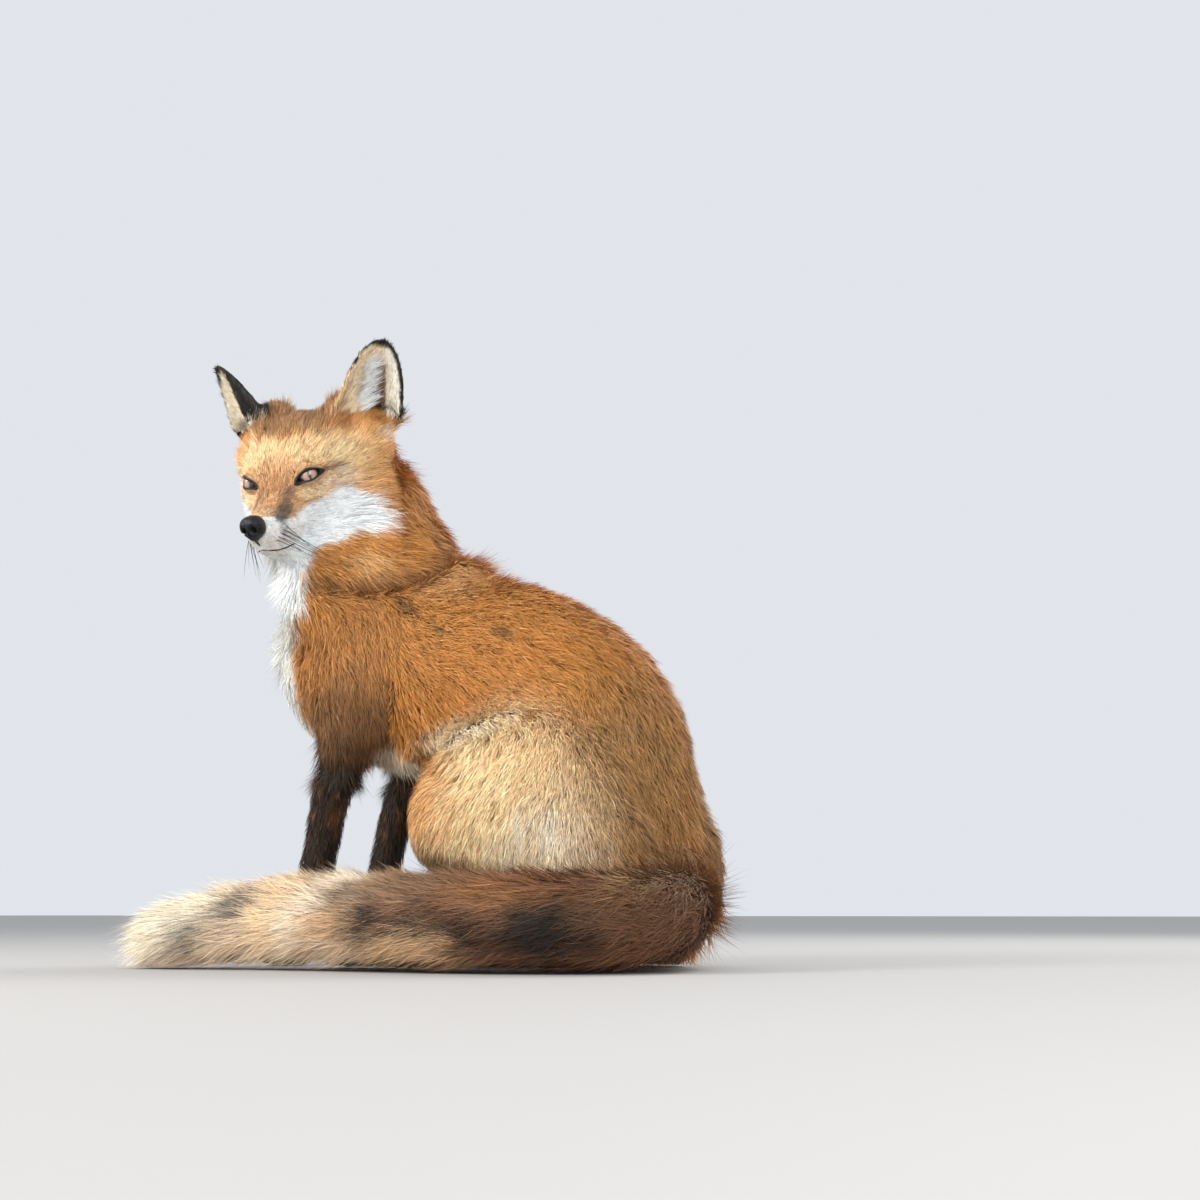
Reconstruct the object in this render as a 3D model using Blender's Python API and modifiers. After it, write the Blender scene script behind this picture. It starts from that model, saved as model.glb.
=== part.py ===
"""A life-size sitting red fox, a museum mount whose head looks over its left side.

Metres, +Z up. The fox's body faces -X and its left side is -Y. The origin is the middle of the flat
that its rump sits on. Every outline is taken at the tips of the coat.
"""

import math

import bmesh
import bpy
import numpy as np
from mathutils import Euler, Matrix, Vector

# ---- driving sizes of the whole animal, metres and degrees ----
GAP = 0.0004  # left between two neighbouring pieces
BODY_VOXEL = 0.005
HEAD_VOXEL = 0.0028
BODY_TRIANGLES = 3500  # the whole flesh at the body's fineness
HEAD_TRIANGLES = 7000  # the whole flesh at the head's fineness
RING_POINTS = 28
TAIL_POINTS = 14

NOSE_TIP = Vector((-0.2585, -0.1450, 0.3638))
HEAD_YAW, HEAD_PITCH, HEAD_ROLL = -83.5, 25.0, 1.3

# Each place on the head is its distance behind the nose tip, to the left, and up.
EYE = (0.0682, 0.0278, 0.0285)
EYE_RADIUS = 0.0084
NOSE_PAD = (0.0065, 0.0, -0.0005)
NOSE_HALF_SIZES = (0.0090, 0.0112, 0.0102)
# The ears are carried differently: hand, root, tip, degrees that the cup faces outward, width.
EARS = (
    ("left", 1, (0.138, 0.0540, 0.048), (0.134, 0.0855, 0.1285), 22.0, 0.0605),
    ("right", -1, (0.138, 0.0410, 0.048), (0.134, 0.0795, 0.1265), 47.0, 0.0680),
)
EAR_WALL = 0.0048

# ---- control sections, each with only the points that the outline needs ----
# Trunk from rump to breast: x, z, half width, half depth.
TRUNK = (
    (0.034, 0.016, 0.058, 0.052),
    (0.030, 0.060, 0.078, 0.062),
    (0.014, 0.120, 0.084, 0.076),
    (-0.018, 0.178, 0.084, 0.100),
    (-0.075, 0.220, 0.080, 0.104),
    (-0.140, 0.247, 0.078, 0.097),
    (-0.205, 0.264, 0.079, 0.097),
    (-0.252, 0.268, 0.075, 0.088),
    (-0.292, 0.274, 0.058, 0.063),
    (-0.320, 0.277, 0.030, 0.034),
)
# Neck from the shoulders to the nape: x, y, z, half width, half depth.
NECK = (
    (-0.180, 0.000, 0.252, 0.072, 0.084),
    (-0.212, 0.002, 0.308, 0.076, 0.084),
    (-0.242, 0.000, 0.358, 0.080, 0.084),
    (-0.258, -0.006, 0.402, 0.079, 0.081),
    (-0.265, -0.012, 0.436, 0.064, 0.068),
    (-0.268, -0.016, 0.464, 0.038, 0.042),
)
# Head from nose to nape: distance behind the nose tip, top, bottom, half width, how much narrower the top is.
HEAD = (
    (0.0040, 0.0060, -0.0110, 0.0080, 0.00),
    (0.0100, 0.0098, -0.0155, 0.0125, 0.08),
    (0.0220, 0.0120, -0.0190, 0.0165, 0.15),
    (0.0380, 0.0165, -0.0230, 0.0205, 0.16),
    (0.0520, 0.0260, -0.0270, 0.0275, 0.10),
    (0.0640, 0.0385, -0.0310, 0.0385, 0.00),
    (0.0780, 0.0530, -0.0360, 0.0520, -0.02),
    (0.0940, 0.0650, -0.0420, 0.0610, 0.02),
    (0.1120, 0.0765, -0.0480, 0.0680, 0.06),
    (0.1300, 0.0800, -0.0520, 0.0710, 0.10),
    (0.1480, 0.0745, -0.0500, 0.0680, 0.12),
    (0.1640, 0.0540, -0.0420, 0.0560, 0.10),
    (0.1780, 0.0270, -0.0270, 0.0300, 0.05),
)
# Lower jaw from chin to throat: distance behind the nose tip, height of its middle, half width, half height.
JAW = (
    (0.0120, -0.0190, 0.0070, 0.0045),
    (0.0200, -0.0215, 0.0110, 0.0072),
    (0.0400, -0.0265, 0.0155, 0.0095),
    (0.0620, -0.0330, 0.0230, 0.0120),
    (0.0900, -0.0380, 0.0360, 0.0180),
)
# Fore limb from shoulder to wrist: x, side, z, half width, half depth.
FORE_LIMB = (
    (-0.228, 0.052, 0.285, 0.030, 0.056),
    (-0.220, 0.058, 0.245, 0.030, 0.050),
    (-0.217, 0.058, 0.205, 0.027, 0.036),
    (-0.227, 0.055, 0.165, 0.0215, 0.0230),
    (-0.240, 0.052, 0.120, 0.0180, 0.0188),
    (-0.250, 0.050, 0.075, 0.0175, 0.0180),
    (-0.259, 0.049, 0.040, 0.0185, 0.0190),
    (-0.266, 0.048, 0.014, 0.0180, 0.0190),
)
# Thigh and shank as they fold: x, side, z and the three half sizes, then the lean in degrees about Y.
HIND_FORMS = (
    (-0.030, 0.070, 0.128, 0.098, 0.052, 0.086, 14.0),
    (-0.082, 0.078, 0.118, 0.056, 0.042, 0.056, 30.0),
    (0.022, 0.066, 0.080, 0.062, 0.048, 0.076, 0.0),
)
# The rump that the fox sits on, and the throat under the turned head: centre and half sizes.
SOFT_FORMS = (
    ("seat", (0.000, 0.0, 0.043), (0.080, 0.070, 0.050)),
    ("rump_end", (0.030, 0.0, 0.060), (0.070, 0.086, 0.052)),
    ("throat", (-0.250, -0.044, 0.330), (0.046, 0.054, 0.066)),
    ("withers", (-0.160, 0.006, 0.310), (0.062, 0.056, 0.054)),
    ("breast", (-0.262, -0.016, 0.272), (0.046, 0.052, 0.060)),
)
# Hind foot from hock to toes: x, side, z, half width, half height.
HIND_FOOT = (
    (0.038, 0.084, 0.017, 0.0190, 0.0210),
    (-0.020, 0.086, 0.017, 0.0185, 0.0215),
    (-0.080, 0.087, 0.018, 0.0190, 0.0230),
    (-0.128, 0.088, 0.016, 0.0195, 0.0205),
    (-0.158, 0.088, 0.013, 0.0190, 0.0180),
)
# Tail from the rump round the left hip and forward along the floor: x, y, z, half width, half height.
TAIL = (
    (0.058, 0.014, 0.058, 0.022, 0.024),
    (0.084, -0.024, 0.050, 0.034, 0.038),
    (0.090, -0.078, 0.041, 0.041, 0.044),
    (0.060, -0.131, 0.038, 0.043, 0.043),
    (0.000, -0.160, 0.038, 0.045, 0.043),
    (-0.068, -0.162, 0.038, 0.047, 0.043),
    (-0.135, -0.154, 0.038, 0.048, 0.043),
    (-0.198, -0.149, 0.038, 0.048, 0.043),
    (-0.246, -0.153, 0.034, 0.045, 0.039),
    (-0.286, -0.162, 0.028, 0.038, 0.033),
    (-0.316, -0.170, 0.022, 0.027, 0.025),
    (-0.332, -0.174, 0.018, 0.012, 0.012),
)
FOOT_PLACES = ((-0.280, 0.048), (-0.165, 0.088))
TOE_SPREAD = (-0.0125, -0.0045, 0.0045, 0.0125)
TOE_REACH = (0.004, 0.011, 0.011, 0.004)


def clear_scene():
    for item in list(bpy.data.objects):
        bpy.data.objects.remove(item, do_unlink=True)


def collection(name):
    made = bpy.data.collections.new(name)
    bpy.context.scene.collection.children.link(made)
    return made


def object_from(name, mesh, target):
    made = bpy.data.objects.new(name, mesh)
    target.objects.link(made)
    return made


def closed_mesh(name, rings):
    """Skins a list of equal rings of points, with a fan over each end."""
    shape = bmesh.new()
    rows = [[shape.verts.new(point) for point in ring] for ring in rings]
    count = len(rows[0])
    for first, second in zip(rows, rows[1:]):
        for i in range(count):
            j = (i + 1) % count
            shape.faces.new((first[i], first[j], second[j], second[i]))
    for row in (rows[0], rows[-1]):
        centre = shape.verts.new(sum((v.co for v in row), Vector()) / count)
        for i in range(count):
            shape.faces.new((row[i], centre, row[(i + 1) % count]))
    bmesh.ops.recalc_face_normals(shape, faces=shape.faces)
    mesh = bpy.data.meshes.new(name)
    shape.to_mesh(mesh)
    shape.free()
    return mesh


def smooth_rows(rows, steps):
    """Rows read off a Catmull-Rom curve through the control rows, steps to each span."""
    table = np.array(rows, float)
    padded = np.vstack([2 * table[0] - table[1], table, 2 * table[-1] - table[-2]])
    made = []
    for i in range(1, len(padded) - 2):
        before, start, end, after = padded[i - 1 : i + 3]
        for t in np.arange(steps) / steps:
            made.append(
                0.5 * (2 * start + (end - before) * t
                       + (2 * before - 5 * start + 4 * end - after) * t ** 2
                       + (3 * start - before - 3 * end + after) * t ** 3)
            )
    made.append(table[-1])
    return np.array(made)


def loft(name, centres, across, other, side, target, points=RING_POINTS):
    """An oval tube through the centres. Its across axis stays as near to side as the path lets it."""
    path = np.gradient(centres, axis=0)
    path /= np.linalg.norm(path, axis=1)[:, None]
    rings = []
    for centre, run, a, b in zip(centres, path, across, other):
        run = Vector(run)
        cross = (Vector(side) - run * run.dot(Vector(side))).normalized()
        upright = run.cross(cross)
        turns = [2 * math.pi * k / points for k in range(points)]
        rings.append(
            [Vector(centre) + cross * (a * math.cos(t)) + upright * (b * math.sin(t)) for t in turns]
        )
    return object_from(name, closed_mesh(name, rings), target)


def ball(name, centre, half_sizes, lean, target, segments=24):
    """An oval ball, leant about Y."""
    shape = bmesh.new()
    bmesh.ops.create_uvsphere(shape, u_segments=segments, v_segments=segments * 2 // 3, radius=1.0)
    place = Matrix.Translation(centre) @ Matrix.Rotation(math.radians(lean), 4, "Y")
    shape.transform(place @ Matrix.Diagonal((*half_sizes, 1.0)))
    mesh = bpy.data.meshes.new(name)
    shape.to_mesh(mesh)
    shape.free()
    return object_from(name, mesh, target)


def baked(item):
    """The object's evaluated mesh, as a new mesh with the object's place in it."""
    bpy.context.view_layer.update()
    graph = bpy.context.evaluated_depsgraph_get()
    mesh = bpy.data.meshes.new_from_object(item.evaluated_get(graph))
    mesh.transform(item.matrix_world)
    return mesh


def joined(name, items, target):
    """One mesh of all the items, which are removed."""
    shape = bmesh.new()
    for item in items:
        shape.from_mesh(baked(item))
        bpy.data.objects.remove(item, do_unlink=True)
    mesh = bpy.data.meshes.new(name)
    shape.to_mesh(mesh)
    shape.free()
    return object_from(name, mesh, target)


def spare_weight(point, centre, near, far):
    """0.12 within the near distance of the centre, rising to 1 at the far one."""
    t = min(max(((point - centre).length - near) / (far - near), 0.0), 1.0)
    return 0.12 + 0.88 * t * t * (3 - 2 * t)


def fused(name, items, voxel, rounds, target, spared=()):
    """The items melted into one skin and smoothed, less so within reach of each spared place."""
    whole = joined(name, items, target)
    melt = whole.modifiers.new("melt", "REMESH")
    melt.mode = "VOXEL"
    melt.voxel_size = voxel
    if spared:
        mesh = baked(whole)
        whole.modifiers.clear()
        whole.data = mesh
        soft = whole.vertex_groups.new(name="soft")
        for vertex in mesh.vertices:
            weight = min(spare_weight(vertex.co, *place) for place in spared)
            soft.add([vertex.index], weight, "REPLACE")
    ease = whole.modifiers.new("ease", "SMOOTH")
    ease.factor = 0.5
    ease.iterations = rounds
    if spared:
        ease.vertex_group = "soft"
    mesh = baked(whole)
    bpy.data.objects.remove(whole, do_unlink=True)
    return object_from(name, mesh, target)


# ---- the head, in its own frame: +X to the nose, +Y to its left, +Z to its crown ----
HEAD_FRAME = Matrix.Translation(NOSE_TIP) @ Euler(
    [math.radians(a) for a in (HEAD_ROLL, HEAD_PITCH, HEAD_YAW)], "XYZ"
).to_matrix().to_4x4()


def in_head(back, side, up):
    return HEAD_FRAME @ Vector((-back, side, up))


def skull(target):
    """Muzzle, brow and cheeks: upright rings, rounder above than below and narrower at the top."""
    rings = []
    for back, top, bottom, half, taper in smooth_rows(HEAD, 3):
        middle, tall = (top + bottom) / 2, (top - bottom) / 2
        ring = []
        for k in range(RING_POINTS):
            turn = 2 * math.pi * k / RING_POINTS
            across = math.copysign(abs(math.cos(turn)) ** 0.92, math.cos(turn))
            upward = math.copysign(abs(math.sin(turn)) ** 0.92, math.sin(turn))
            ring.append(in_head(back, half * across * (1 - taper * upward), middle + tall * upward))
        rings.append(ring)
    return object_from("skull", closed_mesh("skull", rings), target)


def lower_jaw(target):
    rows = smooth_rows(JAW, 3)
    centres = np.array([in_head(back, 0, up) for back, up, _, _ in rows])
    side = HEAD_FRAME.to_3x3() @ Vector((0, 1, 0))
    return loft("lower_jaw", centres, rows[:, 2], rows[:, 3], side, target)


def head_ball(name, back, side, up, half_sizes, turn, target):
    """An oval ball on the head, turned outwards about the head's upright axis."""
    made = ball(name, (0, 0, 0), half_sizes, 0, target)
    made.data.transform(
        HEAD_FRAME @ Matrix.Translation((-back, side, up)) @ Matrix.Rotation(math.radians(turn), 4, "Z")
    )
    return made


def cheeks_and_brows(target):
    made = []
    for hand in (-1, 1):
        made += [
            head_ball("ruff", 0.132, hand * 0.046, -0.020, (0.040, 0.026, 0.030), hand * -28, target),
            head_ball("cheek", 0.092, hand * 0.036, -0.008, (0.034, 0.019, 0.026), hand * -30, target),
            head_ball("brow", 0.076, hand * 0.024, 0.042, (0.016, 0.009, 0.007), hand * -24, target),
            head_ball("lip", 0.024, hand * 0.0085, -0.010, (0.017, 0.0092, 0.0085), hand * -12, target),
            head_ball("ear_foot", 0.134, hand * 0.052 + 0.002, 0.036, (0.025, 0.029, 0.032), 0, target),
            head_ball("ear_fur", 0.140, hand * 0.035 + 0.003, 0.070, (0.016, 0.020, 0.021), 0, target),
        ]
    return made


def ear(hand, root, tip, opens, width, target):
    """A cupped shell. Each level is an arc that opens forward and outward, and it narrows to a round tip."""
    root, tip = Vector(root), Vector(tip)
    levels, across = 12, 15
    opening = math.radians(opens)
    shape = bmesh.new()
    rows = []
    for i in range(levels):
        t = i / (levels - 1)
        centre = root.lerp(tip, t)
        half = max(width / 2 * math.sqrt(1 - t ** 2.5), 0.004)
        spread = math.radians(108 - 30 * t)
        row = []
        for j in range(across):
            turn = spread * (2 * j / (across - 1) - 1)
            wing = math.sin(turn) * half
            ahead = (1 - math.cos(turn)) * half * (0.85 - 0.35 * t) - half * 0.30
            forward = ahead * math.cos(opening) - wing * math.sin(opening)
            outward = ahead * math.sin(opening) + wing * math.cos(opening)
            row.append(shape.verts.new(in_head(centre.x - forward, hand * (centre.y + outward), centre.z)))
        rows.append(row)
    for low, high in zip(rows, rows[1:]):
        for j in range(across - 1):
            shape.faces.new((low[j], low[j + 1], high[j + 1], high[j]))
    bmesh.ops.recalc_face_normals(shape, faces=shape.faces)
    mesh = bpy.data.meshes.new("ear")
    shape.to_mesh(mesh)
    shape.free()
    made = object_from("ear", mesh, target)
    wall = made.modifiers.new("wall", "SOLIDIFY")
    wall.thickness = EAR_WALL
    wall.offset = 0.0
    return made


# ---- the body ----
def mirrored(rows, hand):
    """Rows with their side column turned to one hand: +1 is the fox's right."""
    table = np.array(rows, float)
    table[:, 1] *= hand
    return table


def paw(front, side, hand, size, target):
    """A pad with four toes and their claws, pointing to -X."""
    made = [ball("pad", (front, hand * side, 0.013 * size), (0.0235, 0.0185 * size, 0.017 * size), 0, target)]
    for spread, reach in zip(TOE_SPREAD, TOE_REACH):
        at = (front - 0.012 - reach, hand * side + spread * size, 0.0080)
        made.append(ball("toe", at, (0.0130, 0.0066, 0.0105), 0, target))
    return made


def body(target):
    trunk = smooth_rows(TRUNK, 4)
    centres = np.column_stack([trunk[:, 0], np.zeros(len(trunk)), trunk[:, 1]])
    items = [loft("trunk", centres, trunk[:, 2], trunk[:, 3], (0, 1, 0), target)]
    neck = smooth_rows(NECK, 4)
    items.append(loft("neck", neck[:, :3], neck[:, 3], neck[:, 4], (0, 1, 0), target))
    for form, centre, half_sizes in SOFT_FORMS:
        items.append(ball(form, centre, half_sizes, 0, target))
    for hand in (-1, 1):
        limb = smooth_rows(mirrored(FORE_LIMB, hand), 4)
        items.append(loft("fore_limb", limb[:, :3], limb[:, 3], limb[:, 4], (0, 1, 0), target))
        items += paw(-0.273, 0.048, hand, 1.0, target)
        for x, side, z, a, b, c, lean in HIND_FORMS:
            items.append(ball("thigh", (x, hand * side, z), (a, b, c), lean, target))
        foot = smooth_rows(mirrored(HIND_FOOT, hand), 4)
        items.append(loft("hind_foot", foot[:, :3], foot[:, 3], foot[:, 4], (0, 1, 0), target))
        items += paw(-0.166, 0.088, hand, 1.0, target)
    feet = [(Vector((x, hand * side, 0.0)), 0.035, 0.07) for hand in (-1, 1) for x, side in FOOT_PLACES]
    return fused("body", items, BODY_VOXEL, 16, target, feet)


def head(target):
    items = [skull(target), lower_jaw(target)] + cheeks_and_brows(target)
    items.append(head_ball("bunched_nape", 0.150, 0.049, 0.032, (0.025, 0.029, 0.032), 0, target))
    return fused("head", items, HEAD_VOXEL, 3, target)


def reduced(item, triangles):
    """The object with its faces collapsed to about the given number of triangles."""
    thin = item.modifiers.new("thin", "DECIMATE")
    count = sum(len(p.vertices) - 2 for p in item.data.polygons)
    thin.ratio = min(1.0, triangles / count)
    mesh = baked(item)
    item.modifiers.clear()
    item.data = mesh
    return item


def box(name, centre, half_sizes, frame, target):
    """A box whose own axes are the frame's."""
    shape = bmesh.new()
    bmesh.ops.create_cube(shape, size=2.0)
    shape.transform(Matrix.Translation(centre) @ frame.to_4x4() @ Matrix.Diagonal((*half_sizes, 1.0)))
    mesh = bpy.data.meshes.new(name)
    shape.to_mesh(mesh)
    shape.free()
    made = object_from(name, mesh, target)
    made.hide_render = True
    made.display_type = "WIRE"
    return made


def block(name, face_centre, inward, side, half_side, half_other, depth, target, grown=0.0):
    """A box behind a cutting face. It starts at the face and runs inward; grown pushes every face out."""
    inward = Vector(inward).normalized()
    side = (Vector(side) - inward * inward.dot(Vector(side))).normalized()
    frame = Matrix((side, inward.cross(side), inward)).transposed()
    centre = Vector(face_centre) + inward * depth / 2
    half_sizes = (half_side + grown, half_other + grown, depth / 2 + grown)
    return box(name, centre, half_sizes, frame, target)


def cutting_plan():
    """The pieces in the order they are parted: name, face centre, inward, side, half sizes, depth.

    Each later piece is cut from what the earlier ones leave.
    """
    turn = HEAD_FRAME.to_3x3()
    left = turn @ Vector((0, 1, 0))
    plan = []
    for side, hand in (("left", 1), ("right", -1)):
        plan.append((f"ear_{side}", in_head(0.138, hand * 0.056, 0.070),
                     turn @ Vector((0, hand * 0.35, 0.94)), left, 0.046, 0.060, 0.09))
    plan.append(("head", in_head(0.1165, 0, 0.0025), turn @ Vector((0.683, 0, 0.730)), left,
                 0.12, 0.13, 0.20))
    plan.append(("neck", (-0.232, 0, 0.310), (-0.38, 0, 0.925), (0, 1, 0), 0.13, 0.14, 0.22))
    for side, hand in (("left", -1), ("right", 1)):
        plan += [
            (f"hind_foot_{side}", (-0.083, hand * 0.093, 0.040), (0, 0, -1), (0, 1, 0), 0.033, 0.135, 0.06),
            (f"forepaw_{side}", (-0.280, hand * 0.050, 0.040), (0, 0, -1), (0, 1, 0), 0.049, 0.060, 0.06),
            (f"foreleg_{side}", (-0.243, hand * 0.056, 0.158), (0, 0, -1), (0, 1, 0), 0.050, 0.062, 0.17),
            (f"haunch_{side}", (-0.0015, hand * 0.046, 0.0899), (0, hand, 0), (0.906, 0, 0.423),
             0.123, 0.142, 0.10),
        ]
    plan += [
        ("chest", (-0.118, 0, 0.235), (-0.92, 0, 0.39), (0, 1, 0), 0.13, 0.16, 0.30),
        ("rump", (-0.035, 0, 0.170), (0.69, 0, -0.72), (0, 1, 0), 0.13, 0.16, 0.30),
    ]
    return plan


TAIL_PLAN = (
    ("tail_tip", (-0.165, -0.150, 0.05), (-1, 0, 0), (0, 1, 0), 0.10, 0.10, 0.25),
    ("tail_middle", (0.020, -0.150, 0.05), (-1, 0, 0), (0, 1, 0), 0.08, 0.10, 0.25),
)


def boolean(item, cutter, operation):
    """Applies one exact Boolean and keeps the biggest island of the outcome."""
    carve = item.modifiers.new("carve", "BOOLEAN")
    carve.operation = operation
    carve.solver = "EXACT"
    carve.object = cutter
    mesh = baked(item)
    item.modifiers.clear()
    item.data = mesh
    keep_largest(item)


def keep_largest(item):
    shape = bmesh.new()
    shape.from_mesh(item.data)
    bmesh.ops.remove_doubles(shape, verts=shape.verts, dist=0.00005)
    seen, islands = set(), []
    for start in shape.verts:
        if start in seen:
            continue
        island, edge = {start}, [start]
        while edge:
            for link in edge.pop().link_edges:
                for vertex in link.verts:
                    if vertex not in island:
                        island.add(vertex)
                        edge.append(vertex)
        seen |= island
        islands.append(island)
    biggest = max(islands, key=len)
    bmesh.ops.delete(shape, geom=[v for v in shape.verts if v not in biggest], context="VERTS")
    shape.to_mesh(item.data)
    shape.free()


def copied(item, name):
    made = object_from(name, item.data.copy(), item.users_collection[0])
    made.data.name = name
    return made


def parted(rest, plan, wanted, helpers):
    """Parts the planned pieces from the rest. Unwanted ones are cut away and dropped."""
    pieces = []
    for name, *shape in plan:
        if name in wanted:
            piece = copied(rest, name)
            boolean(piece, block(f"{name}_keep", *shape, helpers), "INTERSECT")
            pieces.append(piece)
        boolean(rest, block(f"{name}_clear", *shape, helpers, GAP), "DIFFERENCE")
    return pieces


def eyes_and_nose(head_piece, fox, helpers):
    """Eyeballs and the nose pad, each in a close bed cut in the head."""
    turn = HEAD_FRAME.to_3x3().to_4x4()
    forms = [("nose", NOSE_PAD, NOSE_HALF_SIZES)]
    for side, hand in (("left", 1), ("right", -1)):
        forms.append((f"eye_{side}", (EYE[0], hand * EYE[1], EYE[2]), (EYE_RADIUS,) * 3))
    made = []
    for name, place, half_sizes in forms:
        for label, grown, target in ((name, 0.0, fox), (f"{name}_bed", GAP, helpers)):
            form = ball(label, (0, 0, 0), [half + grown for half in half_sizes], 0, target, 12)
            form.data.transform(Matrix.Translation(in_head(*place)) @ turn)
            if grown:
                form.hide_render = True
                form.display_type = "WIRE"
                boolean(head_piece, form, "DIFFERENCE")
            else:
                made.append(form)
    return made


def tail_solid(name, grown, target):
    rows = smooth_rows(TAIL, 3)
    return loft(name, rows[:, :3], rows[:, 4] + grown, rows[:, 3] + grown, (0, 0, 1), target, TAIL_POINTS)


COATS = {
    "ginger": (0.62, 0.27, 0.09),
    "straw": (0.72, 0.52, 0.30),
    "smoke": (0.09, 0.06, 0.045),
    "brush": (0.45, 0.28, 0.16),
    "cream": (0.82, 0.74, 0.60),
    "amber": (0.55, 0.38, 0.28),
    "ink": (0.02, 0.018, 0.018),
}
COAT_OF = {
    "head": "ginger", "neck": "ginger", "chest": "ginger", "loin": "ginger", "rump": "ginger",
    "haunch": "straw", "foreleg": "smoke", "forepaw": "smoke", "hind_foot": "smoke", "ear": "straw",
    "tail_base": "brush", "tail_middle": "brush", "tail_tip": "cream", "eye": "amber", "nose": "ink",
}


def dress(item):
    """A material of the piece's own, and smooth shading."""
    kind = item.name.replace("_left", "").replace("_right", "")
    material = bpy.data.materials.new(f"{item.name}_coat")
    material.use_nodes = True
    shader = material.node_tree.nodes["Principled BSDF"]
    shader.inputs["Base Color"].default_value = (*COATS[COAT_OF[kind]], 1.0)
    shader.inputs["Roughness"].default_value = 0.15 if kind == "eye" else 0.85
    item.data.materials.clear()
    item.data.materials.append(material)
    item.data.shade_smooth()
    item.data.set_sharp_from_angle(angle=math.radians(38))


def main():
    clear_scene()
    fox = collection("red_fox")
    helpers = collection("cutters")
    face = in_head(0.045, 0, 0.005)
    ears = [(in_head(0.136, hand * 0.066, 0.100), 0.030, 0.050) for hand in (-1, 1)]
    feet = [(Vector((x, hand * side, 0.0)), 0.04, 0.08) for hand in (-1, 1) for x, side in FOOT_PLACES]
    parts = [body(fox), head(fox)] + [ear(*form, fox) for _, *form in EARS]
    fine = fused("flesh", parts, HEAD_VOXEL, 9, fox, [(face, 0.050, 0.095)] + ears + feet)
    coarse = copied(fine, "loin")
    reduced(fine, HEAD_TRIANGLES)
    reduced(coarse, BODY_TRIANGLES)

    floor = box("floor", (0, 0, -0.05), (0.6, 0.6, 0.05), Matrix.Identity(3), helpers)
    tail = tail_solid("tail_base", 0.0, fox)
    tail_bed = tail_solid("tail_bed", GAP, helpers)
    tail_bed.hide_render = True
    tail_bed.display_type = "WIRE"
    boolean(coarse, tail_bed, "DIFFERENCE")
    for piece in (coarse, tail):
        boolean(piece, floor, "DIFFERENCE")

    plan = cutting_plan()
    of_head = {"ear_left", "ear_right", "head"}
    pieces = parted(fine, plan[:3], of_head, helpers)
    bpy.data.objects.remove(fine, do_unlink=True)
    pieces += eyes_and_nose(pieces[-1], fox, helpers)
    pieces += parted(coarse, plan, {name for name, *_ in plan} - of_head, helpers) + [coarse]
    pieces += parted(tail, TAIL_PLAN, {name for name, *_ in TAIL_PLAN}, helpers) + [tail]
    for piece in pieces:
        dress(piece)


main()
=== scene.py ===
# %% [markdown]
# # A sitting red fox, made life-size
#
# The real object is a taxidermy red fox: a tanned pelt drawn over a carved body, with glass
# eyes, a waxed leather nose and the brush laid round the feet. This lesson dresses the solid
# body in four layers: one skin, the set features of the head, the coat, and the light.
#
# A pelt could be painted on the body, but its edge would then be hard. Real fur breaks the
# outline and shades itself, so here it is made of many thin tapered blades of solid mesh.

# %% Load the body and keep its box
import math
import bmesh
import bpy
import numpy as np
from mathutils import Euler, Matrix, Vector
from mathutils.bvhtree import BVHTree
from mathutils.kdtree import KDTree


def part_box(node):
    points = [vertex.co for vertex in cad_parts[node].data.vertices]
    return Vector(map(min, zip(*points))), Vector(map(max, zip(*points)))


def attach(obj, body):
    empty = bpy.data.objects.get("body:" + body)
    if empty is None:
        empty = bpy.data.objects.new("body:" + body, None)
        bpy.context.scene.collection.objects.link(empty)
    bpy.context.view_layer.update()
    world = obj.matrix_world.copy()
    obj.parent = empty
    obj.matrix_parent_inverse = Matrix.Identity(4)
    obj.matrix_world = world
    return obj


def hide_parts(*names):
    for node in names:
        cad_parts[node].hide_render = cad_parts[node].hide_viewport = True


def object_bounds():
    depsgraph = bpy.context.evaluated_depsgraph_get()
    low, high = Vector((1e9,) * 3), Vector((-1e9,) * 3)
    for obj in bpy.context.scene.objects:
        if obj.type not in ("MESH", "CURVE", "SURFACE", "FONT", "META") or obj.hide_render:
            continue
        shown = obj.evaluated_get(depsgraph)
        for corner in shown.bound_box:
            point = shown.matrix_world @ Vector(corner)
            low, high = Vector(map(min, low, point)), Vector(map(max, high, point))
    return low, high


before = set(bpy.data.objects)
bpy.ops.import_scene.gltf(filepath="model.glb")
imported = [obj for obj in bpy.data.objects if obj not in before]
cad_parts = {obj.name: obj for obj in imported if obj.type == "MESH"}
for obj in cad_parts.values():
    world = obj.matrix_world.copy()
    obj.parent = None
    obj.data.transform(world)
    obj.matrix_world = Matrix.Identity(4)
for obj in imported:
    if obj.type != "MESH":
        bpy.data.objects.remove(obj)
cad_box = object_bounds()
print("nodes", len(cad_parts), "box", cad_box)

# %% [markdown]
# ## Sums that every piece shares
#
# Each helper works on a whole array of points at once. `ramp` is a soft step, `blot` is one
# inside a stretched ball and falls to nought outside it, and `mottle` is a smooth random
# field: eight hashed values at the corners of a cell, eased together across the cell.

# %% Array helpers
TAU = 2.0 * math.pi
SAME_POINT = 1e-7                             # points nearer than this are merged


def unit(rows):
    """Each row divided by its own length."""
    return rows / np.maximum(np.linalg.norm(rows, axis=-1, keepdims=True), 1e-9)


def ramp(value, low, high):
    """0 below low, 1 above high, and 3t^2 - 2t^3 between them."""
    t = np.clip((value - low) / (high - low), 0.0, 1.0)
    return t * t * (3.0 - 2.0 * t)


def fall(value, low, high):
    """1 below low, 0 above high: the ramp turned upside down."""
    return 1.0 - ramp(value, low, high)


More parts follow.
